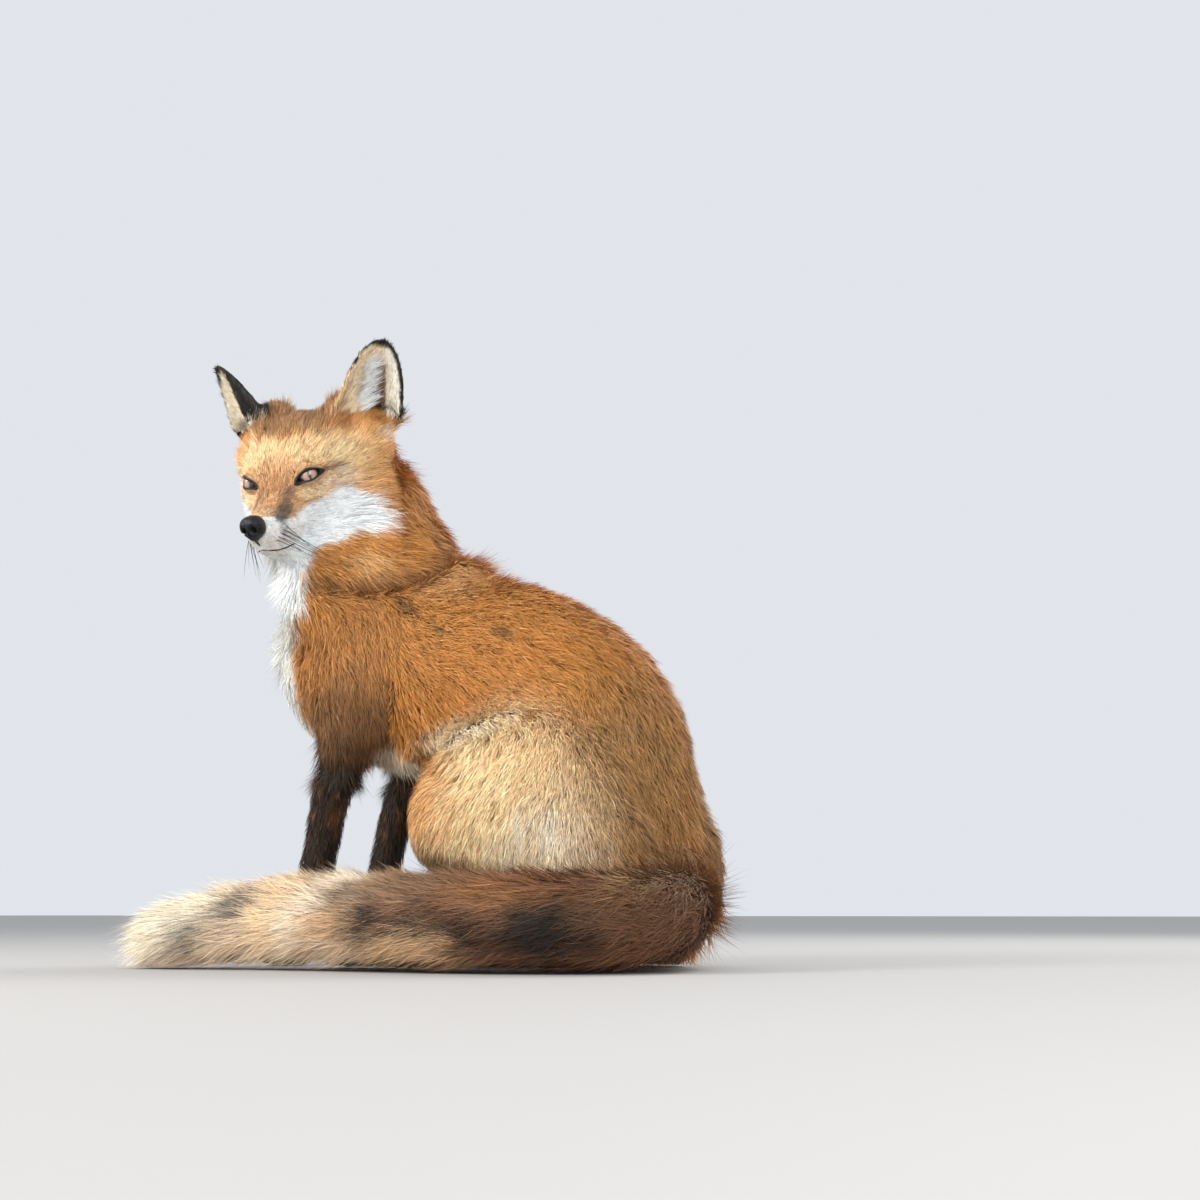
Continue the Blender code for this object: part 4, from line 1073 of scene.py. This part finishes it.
# %% Sow the roots
tri = np.concatenate([quads[:, [0, 1, 2]], quads[:, [0, 2, 3]]])
tri_area = 0.5 * np.linalg.norm(np.cross(skin[tri[:, 1]] - skin[tri[:, 0]], skin[tri[:, 2]] - skin[tri[:, 0]]), axis=1)
bald = np.zeros(len(skin))
for hand in (1, -1):
    local = in_eye(skin, hand)
    bald = np.maximum(bald, on_head * (np.abs(local[:, 2]) < 0.022) * (slit_reach(local, 0.0032) < 1.0))
pad_reach = np.linalg.norm((to_head(skin) - NOSE_SEAT) / (NOSE_HALF + 0.0004), axis=1)
bald = np.maximum(bald, on_head * (pad_reach < 1.0))
near_eye = np.minimum(*[np.linalg.norm(in_eye(skin, h), axis=1) for h in (1, -1)])
coat[:, 1] *= 1.0 - on_head * 0.62 * fall(near_eye, 0.010, 0.030)
near_nose = on_head * fall(pad_reach, 1.0, 2.4)
coat[:, 1] *= 1.0 - 0.55 * near_nose
low_under = ramp(-skin_normal[:, 2], 0.6, 0.95) * (skin[:, 2] < 0.03)


def sow(weight, count, rng):
    """Scatters roots over the skin's triangles, by area times the mean weight of their corners. A root takes the
    mean of its triangle's corners for place, way and size, and one corner's tones whole, so that tones stay crisp."""
    chance = tri_area * weight[tri].mean(1) * (bald[tri].max(1) < 0.5) * (1.0 - 0.85 * low_under[tri].mean(1))
    pick = np.searchsorted(np.cumsum(chance), rng.random(count) * chance.sum())
    pick = np.minimum(pick, len(tri) - 1)
    r1, r2 = np.sqrt(rng.random(count)), rng.random(count)
    mix = np.stack([1 - r1, r1 * (1 - r2), r1 * r2], 1)
    corner = tri[pick]
    one = corner[np.arange(count), rng.integers(0, 3, count)]

    def blend(field):
        """The field at each root, mixed from the three corners of its triangle."""
        return (field[corner] * mix.reshape(mix.shape + (1,) * (field.ndim - 1))).sum(1)

    return {"at": blend(skin), "normal": unit(blend(skin_normal)), "way": unit(blend(way)), "bend": blend(bend),
            "size": blend(coat), "root": root_tone[one], "mid": tip_tone[one], "tip": tip_tone[one],
            "tick": tick[one], "pale": grizzle[one], "pelt": pelt_place[one]}


# %% Colour each blade by the skin that its outer half covers
MIDDLE, NEAR_TIP = 0.45, 0.85                 # shares of a blade's length
skin_finder = KDTree(len(skin))
for number, point in enumerate(skin.tolist()):
    skin_finder.insert(point, number)
skin_finder.balance()


def landed(roots):
    """The middle and the tip of a blade take the tone of the skin below them; black and pale tips go by the tip."""
    for key, share in (("mid", MIDDLE), ("tip", NEAR_TIP)):
        under = roots["at"] + share * roots["size"][:, 1:2] * roots["way"]
        spot = np.array([skin_finder.find(p)[1] for p in under.tolist()])
        roots[key] = tip_tone[spot]
    roots["tick"], roots["pale"] = tick[spot], grizzle[spot]
    return roots


# %% Grow blades from roots
PATCH = 0.003                                  # width of a blade's patch on the flat pelt
COMB = {3: (0.0, 0.48, 1.0), 4: (0.0, 0.32, 0.66, 1.0)}      # shares of the length where a blade has its rows
BLACK_TIP, PALE_TIP = np.array([0.030, 0.022, 0.016]), np.array([0.15, 0.135, 0.115])
BOX_PULL = 0.4                                 # share by which hair outside the body's box bends back to it


def tufts_of(at, size, seed):
    """The number of the tuft that each root belongs to: the nearest of one hashed point in each cell round it."""
    p = at / size[:, None] if size.ndim else at / size
    cell = np.floor(p).astype(np.int64)
    best, owner_cell = np.full(len(at), 1e9), np.zeros(len(at), dtype=np.int64)
    for corner in np.ndindex(3, 3, 3):
        other = cell + np.array(corner) - 1
        centre = other + np.stack([hashed(other, seed + k) for k in range(3)], 1)
        gap = ((p - centre) ** 2).sum(1)
        code = (other[:, 0] * 2097143 + other[:, 1]) * 2097143 + other[:, 2]
        closer = gap < best
        best, owner_cell = np.where(closer, gap, best), np.where(closer, code, owner_cell)
    return np.unique(owner_cell, return_inverse=True)[1].ravel()


def strip_corners(count, rows):
    """Corner numbers of the triangles of `count` blades: pairs of points up to the last row, which is one point."""
    number = 2 * rows - 1
    one = []
    for k in range(rows - 2):
        a = 2 * k
        one += [(a, a + 1, a + 3), (a, a + 3, a + 2)]
    one.append((number - 3, number - 2, number - 1))
    return (np.array(one)[None] + (np.arange(count) * number)[:, None, None]).reshape(-1, 3)


def toned(roots, rows, rng, fleck, tuft_shade):
    """A colour for each point: root tone to middle tone to tip tone, made lighter or darker by the blade and by the
    tuft, and darker towards the root by painted shade deep in the coat, less for pale hair. A few blades are black
    or pale in their outer half."""
    count = len(tuft_shade)
    shade = np.exp(fleck * rng.normal(0, 1, count) + 0.35 * fleck * tuft_shade)[:, None]
    shade = np.minimum(shade, 0.98 / np.maximum(roots["tip"].max(1, keepdims=True), 0.3))
    # Painted shade deep in the coat: blades darken towards the root, less where the hair is pale.
    root_shade = 0.34 * fall(roots["root"].mean(1, keepdims=True), 0.35, 0.80)     # pale hair lets light down to its root
    ticked = rng.random(count) < roots["tick"]
    pale = (rng.random(count) < roots["pale"]) & ~ticked
    tone = []
    for k, share in enumerate(COMB[rows]):
        if share < MIDDLE:
            low, high, mix = roots["root"], roots["mid"], share / MIDDLE
        else:
            low, high, mix = roots["mid"], roots["tip"], (share - MIDDLE) / (1.0 - MIDDLE)
        colour = ((1 - mix) * low + mix * high) * shade * (1.0 - root_shade * (1.0 - min(1.0, share / MIDDLE)))
        colour = np.where((ticked & (share > 0.6))[:, None], BLACK_TIP, colour)
        colour = np.where((pale & (share > 0.4))[:, None], np.minimum(1.30 * colour + PALE_TIP, 0.97), colour)
        tone += [colour] if k == rows - 1 else [colour, colour]
    return np.stack(tone, 1).reshape(-1, 3)


def grown(name, roots, rows, seed, pull=0.5, slant=1.0, wave=0.05, wild=0.10, fleck=0.16):
    """Blades: s = length t, laid along the way by sin(bend s) / bend, dropped by (1 - cos(bend s)) / bend, and
    raised by slant (t - 0.42 t^2), so that the tip stands about a coat's depth above the skin. Each is lit with
    the skin's normal at its own place on the curve, mixed with its own, as a mass of fine hair would be."""
    rng = np.random.default_rng(seed)
    count = len(roots["at"])
    at, normal = roots["at"], roots["normal"]
    depth, length, width, clump = roots["size"].T
    tuft = tufts_of(at, np.full(count, np.median(clump)), seed)
    tufts = tuft.max() + 1
    tuft_slant, tuft_turn = rng.normal(0, 1, tufts)[tuft], rng.normal(0, 1, tufts)[tuft]
    tuft_shade = rng.normal(0, 1, tufts)[tuft]
    length = length * np.exp(rng.normal(0, 0.16, count))
    width = width * np.exp(rng.normal(0, 0.15, count))
    side = np.cross(roots["way"], normal)
    turn = np.clip(0.16 * tuft_turn + wild * 2.0 * rng.normal(0, 1, count), -0.40, 0.40)
    forward = unit(np.cos(turn)[:, None] * roots["way"] + np.sin(turn)[:, None] * side)
    side = np.cross(forward, normal)
    stand = rng.uniform(0.30, 1.05, count) * np.exp(0.16 * tuft_slant) * slant
    stand = np.minimum(np.where(rng.random(count) < 0.02, stand * 1.35, stand), 1.3)
    rise = np.clip(stand * depth / (0.58 * length), 0.03, 0.92)
    roll = rng.normal(0, 0.55, count)
    across = np.cos(roll)[:, None] * side + np.sin(roll)[:, None] * normal
    t = np.array(COMB[rows])[None, :]
    s = length[:, None] * t
    turned = np.where(np.abs(roots["bend"]) < 0.5, 0.5, roots["bend"])[:, None]
    ahead = np.sin(turned * s) / turned * np.sqrt(1 - rise ** 2)[:, None]
    drop = (1 - np.cos(turned * s)) / turned * np.where(turned > 0, 0.85, 1.0)
    up = s * rise[:, None] * (1 - 0.42 * t)
    phase = rng.random(count)[:, None] * TAU
    sway = wave * length[:, None] * t * np.sin(phase + 4.0 * t)
    middle = (at[:, None] + ahead[..., None] * forward[:, None] + (up - drop)[..., None] * normal[:, None]
              + sway[..., None] * side[:, None])
    mean_root = np.zeros((tufts, 3))
    members = np.bincount(tuft, minlength=tufts)[:, None]
    for k in range(3):
        mean_root[:, k] = np.bincount(tuft, at[:, k], tufts)
    lean = (mean_root / members)[tuft] - at
    lean -= 0.6 * (lean * normal).sum(1, keepdims=True) * normal
    share = pull * rng.uniform(0.5, 1.1, count)
    middle += (share[:, None] * t ** 1.5)[..., None] * lean[:, None]
    half = 0.5 * width[:, None] * (0.72 + 0.55 * t) * (1 - t ** 2.4)
    left, right = middle - half[..., None] * across[:, None], middle + half[..., None] * across[:, None]
    body = np.stack([left[:, :-1], right[:, :-1]], 2).reshape(count, -1, 3)
    points = np.concatenate([body, middle[:, -1:]], 1)
    points -= BOX_PULL * (points - np.clip(points, *np.array(cad_box)))
    floor = 0.0005 + 0.0012 * rng.random((count, 1))
    points[..., 2] = np.maximum(points[..., 2], floor)
    corners = strip_corners(count, rows)
    tone = toned(roots, rows, rng, fleck, tuft_shade)
    piece = mesh_piece(name, points.reshape(-1, 3), corners)
    painted(piece, tone)
    flat_on = np.cross(across, forward)
    turned_by = turned * s
    soft = (np.cos(turned_by)[..., None] * normal[:, None] + np.sin(turned_by)[..., None] * forward[:, None])
    soft = unit(0.75 * soft + (0.42 * flat_on + 0.10 * rng.normal(0, 1, (count, 3)))[:, None])
    soft = np.concatenate([np.repeat(soft[:, :-1], 2, axis=1), soft[:, -1:]], 1).reshape(-1, 3)
    piece.data.normals_split_custom_set_from_vertices(soft.astype(np.float32))
    patch = np.array([((e - 0.5) * PATCH, k * PATCH) for k in COMB[rows][:-1] for e in (0, 1)] + [(0.0, PATCH)])
    spots = (roots["pelt"][:, None] + patch[None]).reshape(-1, 2)
    flat = piece.data.uv_layers.new(name="OFBake")
    flat.data.foreach_set("uv", spots[corners.ravel()].astype(np.float32).ravel())
    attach(piece, "root")
    print(f"{name}: {count} blades, {len(corners)} triangles")
    return piece


# %% Plant the pieces of the coat
thickness = 1.0 / (coat[:, 1] * coat[:, 2])
left_side = skin[:, 1] < 0
front_of_head = fall(head_at[:, 0], 0.070, 0.076)
brush_root = is_brush & (tail_share < 0.50)
PLAN = (
    # name, where, blades, slot, tuft pull, slant, wave, wild, fleck
    ("coat_face", on_head * front_of_head, 58000, "coat_ginger", 0.28, 0.85, 0.05, 0.07, 0.27),
    ("coat_crown", on_head * (1 - front_of_head), 52000, "coat_ginger", 0.34, 1.0, 0.06, 0.08, 0.27),
    ("coat_ears", on_ear, 30000, "coat_straw", 0.20, 0.9, 0.05, 0.07, 0.16),
    ("coat_neck", owned("neck"), 38000, "coat_ginger", 0.30, 1.0, 0.05, 0.07, 0.13),
    ("coat_flank_left", owned("chest", "loin") & left_side, 48000, "coat_ginger", 0.28, 1.0, 0.05, 0.07, 0.12),
    ("coat_flank_right", owned("chest", "loin") & ~left_side, 34000, "coat_ginger", 0.28, 1.0, 0.05, 0.07, 0.12),
    ("coat_haunch_left", owned("haunch_left"), 46000, "coat_straw", 0.30, 1.0, 0.05, 0.07, 0.18),
    ("coat_haunch_right", owned("haunch_right"), 31000, "coat_straw", 0.30, 1.0, 0.05, 0.07, 0.18),
    ("coat_rump", owned("rump"), 22000, "coat_ginger", 0.32, 1.0, 0.06, 0.09, 0.15),
    ("coat_limbs", owned("fore", "hind_foot"), 38000, "coat_dark", 0.30, 1.0, 0.05, 0.08, 0.34),
    ("coat_brush_root", brush_root, 45000, "coat_brush", 0.50, 0.92, 0.07, 0.10, 0.17),
    ("coat_brush_end", is_brush & ~brush_root, 45000, "coat_cream", 0.50, 0.90, 0.07, 0.10, 0.17))
coat_pieces = []
for number, (name, where, count, slot_name, pull, slant, wave, wild, fleck) in enumerate(PLAN):
    roots = landed(sow(where * thickness, count, np.random.default_rng(100 + number)))
    coat_pieces.append(grown(name, roots, 3, 200 + number, pull, slant, wave, wild, fleck))

# %% Long hair inside the ears
EAR_HAIRS, WISPS = 1000, 1300
ear_hair = sow(on_ear * EAR_INSIDE * fall(EAR_ACROSS, -0.22, -0.10) * ramp(EAR_ACROSS, -0.50, -0.38)
               * ramp(EAR_SHARE, 0.0, 0.1) * fall(EAR_SHARE, 0.66, 0.78), EAR_HAIRS, np.random.default_rng(41))
for hand in (1, -1):
    axis, opening, wing = ear_at(skin[:1], hand)[3:6]
    mine = to_head(ear_hair["at"])[:, 1] * hand > 0
    ear_hair["way"][mine] = unit(0.85 * wing + 0.50 * axis + 0.15 * opening)
ear_hair["size"] = np.tile((0.0050, 0.0190, 0.00040, 0.0045), (len(ear_hair["at"]), 1))
ear_hair["bend"][:] = 4.0
ear_hair["root"][:], ear_hair["mid"][:], ear_hair["tip"][:] = TONES["cream"][0], TONES["white"][1], TONES["white"][1]
ear_hair["tick"][:], ear_hair["pale"][:] = 0.0, 0.0
coat_pieces.append(grown("coat_ear_hair", ear_hair, 4, 301, 0.65, 1.0, 0.08, 0.10, 0.22))

# %% Short fur on the lids
lid_roots = {key: [] for key in ear_hair}
lid_rng = np.random.default_rng(61)
LID_BLADES = 5200                              # sown on each eye, and kept where the lid is furred
for hand, rows, bare in ((1, lid_left_rows, lid_left_bare), (-1, lid_right_rows, lid_right_bare)):
    count = LID_BLADES
    i, j = lid_rng.uniform(1.0, LID_ROWS - 1.02, count), lid_rng.uniform(0, LID_COLUMNS, count)
    i0, j0 = i.astype(int), j.astype(int) % LID_COLUMNS
    fi, fj = (i - i0)[:, None], (j - j.astype(int))[:, None]
    j1 = (j0 + 1) % LID_COLUMNS
    a, b_, c, d = rows[i0, j0], rows[i0, j1], rows[i0 + 1, j0], rows[i0 + 1, j1]
    at = (1 - fi) * ((1 - fj) * a + fj * b_) + fi * ((1 - fj) * c + fj * d)
    outwards = unit(c - a)
    normal = unit(np.cross(b_ - a, c - a))
    normal *= np.sign(normal @ EYES[hand][3])[:, None]
    keep = bare[i0, j0] < 0.35
    nearest = quads[on_skin(at, 0.0)[1]][:, 0]
    run = laid(0.75 * way[nearest] + 0.75 * outwards, normal)
    sown = {"at": at, "normal": normal, "way": run, "bend": np.full(count, 6.0),
            "size": np.tile((0.0012, 0.0042, 0.00040, 0.0030), (count, 1)), "root": root_tone[nearest],
            "mid": tip_tone[nearest], "tip": tip_tone[nearest], "tick": np.zeros(count), "pale": np.zeros(count),
            "pelt": pelt_place[nearest]}
    for key, values in sown.items():
        lid_roots[key].append(values[keep])
lid_roots = {key: np.concatenate(value) for key, value in lid_roots.items()}
coat_pieces.append(grown("coat_lids", lid_roots, 3, 302, 0.3, 0.8, 0.05, 0.07))

# %% Wisps of guard hair at the end of the brush
wisps = sow(is_brush * ramp(tail_share, 0.80, 0.92), WISPS, np.random.default_rng(71))
wisps["size"] = np.tile((0.0160, 0.0540, 0.00036, 0.0140), (len(wisps["at"]), 1))
wisps["root"][:], wisps["mid"][:], wisps["tip"][:] = TONES["cream"][0], TONES["cream"][1], TONES["cream"][1]
wisps["tick"][:], wisps["pale"][:] = 0.10, 0.2
coat_pieces.append(grown("coat_wisps", wisps, 4, 303, 0.35, 0.75, 0.12, 0.12))

# %% [markdown]
# ## Finishes
#
# Hair is a smooth scaly rod, so it has a soft gloss and a faint sheen at its edges. The leather
# of the nose is pebbled and waxed, glass is hard and clear, and claws are polished horn.

# %% Material helpers
def give(tree, socket, value):
    """Sets a socket to a number or colour, or joins it to another node's output."""
    if isinstance(value, bpy.types.NodeSocket):
        tree.links.new(value, socket)
    else:
        socket.default_value = value


def node(tree, kind, settings=None, **sockets):
    """A new node of the kind, with its settings made first and then its inputs given by name."""
    new = tree.nodes.new("ShaderNode" + kind)
    for key, value in (settings or {}).items():
        setattr(new, key, value)
    for key, value in sockets.items():
        give(tree, new.inputs[key.replace("_", " ")], value)
    return new


def into_shader(tree, **sockets):
    """Gives the shader's own sockets their numbers or outputs."""
    for key, value in sockets.items():
        give(tree, tree.nodes["Principled BSDF"].inputs[key.replace("_", " ")], value)


def finish(name, rough, gloss, **sockets):
    """A new material with its fixed numbers set on the shader's own sockets."""
    material = bpy.data.materials.new(name)
    material.use_nodes = True
    into_shader(material.node_tree, Roughness=rough, Specular_IOR_Level=gloss, **sockets)
    return material


def bump_from(tree, height, distance):
    """Raises the surface by a height output times a distance in metres."""
    bump = node(tree, "Bump", Distance=distance, Strength=1.0, Height=height)
    into_shader(tree, Normal=bump.outputs["Normal"])


def object_noise(tree, scale, detail=3.0, rough=0.55):
    """Noise on the piece's own coordinates, with about `scale` waves a metre."""
    place = node(tree, "TexCoord")
    return node(tree, "TexNoise", Scale=scale, Detail=detail, Roughness=rough, Vector=place.outputs["Object"])


def tinted(tree, colour, noise, low, high):
    """The colour multiplied by a grey that follows the noise between low and high."""
    grey = node(tree, "MapRange", From_Min=0.25, From_Max=0.75, To_Min=low, To_Max=high, Value=noise.outputs["Fac"])
    mixed = node(tree, "Mix", {"data_type": "RGBA", "blend_type": "MULTIPLY"}, Factor=1.0, A=colour,
                 B=grey.outputs["Result"])
    return mixed.outputs["Result"]


def pelt_finish(name, rough, gloss, noise, tint, bump=0.0, **sockets):
    """A finish in the piece's own colours, made lighter and darker by a fine noise, with a bump of the same noise."""
    material = finish(name, rough, gloss, **sockets)
    tree = material.node_tree
    colour = node(tree, "Attribute", {"attribute_name": "Pelt"}).outputs["Color"]
    grain = object_noise(tree, *noise)
    into_shader(tree, Base_Color=tinted(tree, colour, grain, *tint))
    if bump:
        bump_from(tree, grain.outputs["Fac"], bump)
    return material


def plain_finish(name, base, rough, gloss, scale, bump):
    """A finish of one colour, with a bump of fine noise."""
    material = finish(name, rough, gloss, Base_Color=(*base, 1.0))
    bump_from(material.node_tree, object_noise(material.node_tree, scale).outputs["Fac"], bump)
    return material


# %% Hair, skin and lids
hair = pelt_finish("fox_hair", 0.55, 0.22, (260.0,), (0.86, 1.12), Sheen_Weight=0.05, Sheen_Roughness=0.4)
pelt = pelt_finish("fox_skin", 0.75, 0.20, (900.0, 4.0, 0.65), (0.75, 1.2), 0.0009)
lid_skin = pelt_finish("lid_skin", 0.46, 0.22, (1500.0,), (0.8, 1.15), 0.0003)
skin_piece.data.materials.append(pelt)
for piece in coat_pieces:
    piece.data.materials.append(hair)
for piece in (lid_left, lid_right):
    piece.data.materials.append(lid_skin)

# %% Leather, horn and whisker
leather = pelt_finish("nose_leather", 0.42, 0.30, (300.0,), (0.8, 1.2))
pebble = node(leather.node_tree, "TexVoronoi", {"feature": "SMOOTH_F1"}, Scale=950.0,
              Vector=node(leather.node_tree, "TexCoord").outputs["Object"])
bump_from(leather.node_tree, pebble.outputs["Distance"], -0.0005)
painted(nose, np.tile((0.004, 0.005, 0.007), (len(nose.data.vertices), 1)))
nose.data.materials.append(leather)
lip_leather = plain_finish("lip_leather", (0.030, 0.022, 0.020), 0.42, 0.45, 1400.0, 0.0003)
lips.data.materials.append(lip_leather)
philtrum.data.materials.append(lip_leather)
whiskers.data.materials.append(plain_finish("whisker_bristle", (0.020, 0.015, 0.012), 0.35, 0.5, 2500.0, 0.00005))
claws.data.materials.append(plain_finish("claw_horn", (0.045, 0.034, 0.026), 0.30, 0.5, 700.0, 0.0002))

# %% Glass eye: rings of colour by the distance from the gaze, and an upright slit
glass = finish("eye_glass", 0.04, 0.6, Coat_Weight=1.0, Coat_Roughness=0.01)
eye_tree = glass.node_tree
seen = node(eye_tree, "Attribute", {"attribute_name": "Seen"})
parts = node(eye_tree, "SeparateXYZ", Vector=seen.outputs["Vector"])


def sum_of(operation, first, second=0.0):
    """The output of a sum in the eye's material; each side is a number or an output."""
    new = node(eye_tree, "Math", {"operation": operation})
    for socket, value in zip(new.inputs, (first, second)):
        give(eye_tree, socket, value)
    return new.outputs["Value"]


IRIS_RINGS = (  # distance from the gaze in ball radii, and colour; the first and last are the ramp's own ends
    (0.0, (0.30, 0.17, 0.11, 1)), (0.16, (0.30, 0.18, 0.14, 1)), (0.38, (0.46, 0.31, 0.25, 1)),
    (0.60, (0.36, 0.22, 0.17, 1)), (0.70, (0.12, 0.07, 0.05, 1)), (0.76, (0.02, 0.014, 0.012, 1)),
    (1.0, (0.015, 0.011, 0.010, 1)))
PUPIL_WIDE, PUPIL_TALL = 0.12, 0.50            # half its width and height, in ball radii
x, y, z = (parts.outputs[k] for k in "XYZ")
reach = sum_of("SQRT", sum_of("ADD", sum_of("MULTIPLY", x, x), sum_of("MULTIPLY", y, y)))
back = sum_of("LESS_THAN", z, 0.0)
rings = node(eye_tree, "ValToRGB", Fac=sum_of("ADD", reach, back))
ramp_ends = rings.color_ramp.elements
ramp_ends[0].color, ramp_ends[1].color = IRIS_RINGS[0][1], IRIS_RINGS[-1][1]
for distance, colour in IRIS_RINGS[1:-1]:
    rings.color_ramp.elements.new(distance).color = colour
spokes = node(eye_tree, "CombineXYZ", X=sum_of("MULTIPLY", sum_of("ARCTAN2", y, x), 5.0),
              Y=sum_of("MULTIPLY", reach, 2.5))
fibre = node(eye_tree, "TexNoise", Scale=3.2, Detail=3.0, Vector=spokes.outputs["Vector"])
iris = tinted(eye_tree, rings.outputs["Color"], fibre, 0.72, 1.2)
slit = sum_of("ADD", *[sum_of("POWER", sum_of("DIVIDE", sum_of("ABSOLUTE", side), half), 2.0)
                       for side, half in ((x, PUPIL_WIDE), (y, PUPIL_TALL))])
soft = node(eye_tree, "MapRange", From_Min=0.75, From_Max=1.25,
            Value=sum_of("ADD", slit, sum_of("MULTIPLY", back, 5.0)))
pupil = node(eye_tree, "Mix", {"data_type": "RGBA"}, A=(0.022, 0.014, 0.012, 1), B=iris,
             Factor=soft.outputs["Result"])
into_shader(eye_tree, Base_Color=pupil.outputs["Result"])
for piece in (eye_left, eye_right):
    piece.data.materials.append(glass)

# %% [markdown]
# ## Floor, light and camera
#
# A large soft key from the front left shows the lie of the hair, a weak fill keeps the shadow
# side readable, and a light from behind draws the outline. The camera stands low and looks up.

# %% Stage
bpy.ops.mesh.primitive_plane_add(size=40.0)
floor = bpy.context.object
floor.name = "floor"
floor.data.materials.append(plain_finish("floor_paint", (0.42, 0.41, 0.40), 0.8, 0.5, 30.0, 0.0004))
world = bpy.data.worlds.new("studio")
world.use_nodes = True
background = world.node_tree.nodes["Background"].inputs
background["Color"].default_value, background["Strength"].default_value = (0.86, 0.89, 0.94, 1), 0.88
bpy.context.scene.world = world
bpy.context.scene.view_settings.view_transform = "Standard"
AIM = Vector((-0.11, -0.04, 0.24))            # the lamps face this place, in the middle of the fox


def lamp(name, place, size, watts, colour):
    """A square area light that faces the fox."""
    data = bpy.data.lights.new(name, "AREA")
    data.shape, data.size, data.energy, data.color = "SQUARE", size, watts, colour
    thing = bpy.data.objects.new(name, data)
    bpy.context.scene.collection.objects.link(thing)
    thing.location = place
    thing.rotation_euler = (AIM - Vector(place)).to_track_quat("-Z", "Y").to_euler()


lamp("key", (-1.20, -1.70, 1.05), 0.9, 43.0, (1.0, 0.96, 0.90))
lamp("fill", (1.50, -1.60, 0.85), 1.6, 31.0, (0.99, 0.98, 0.98))
lamp("back", (0.50, 1.60, 1.70), 1.0, 30.0, (1.0, 0.98, 0.95))
camera = bpy.data.objects.new("camera", bpy.data.cameras.new("camera"))
camera.data.sensor_width, camera.data.lens = 36.0, 56.0      # millimetres
camera.location = (0.7277, -1.3686, 0.045)
camera.rotation_euler = (math.radians(99.5), 0.0, math.radians(28.0))
bpy.context.scene.collection.objects.link(camera)
bpy.context.scene.camera = camera
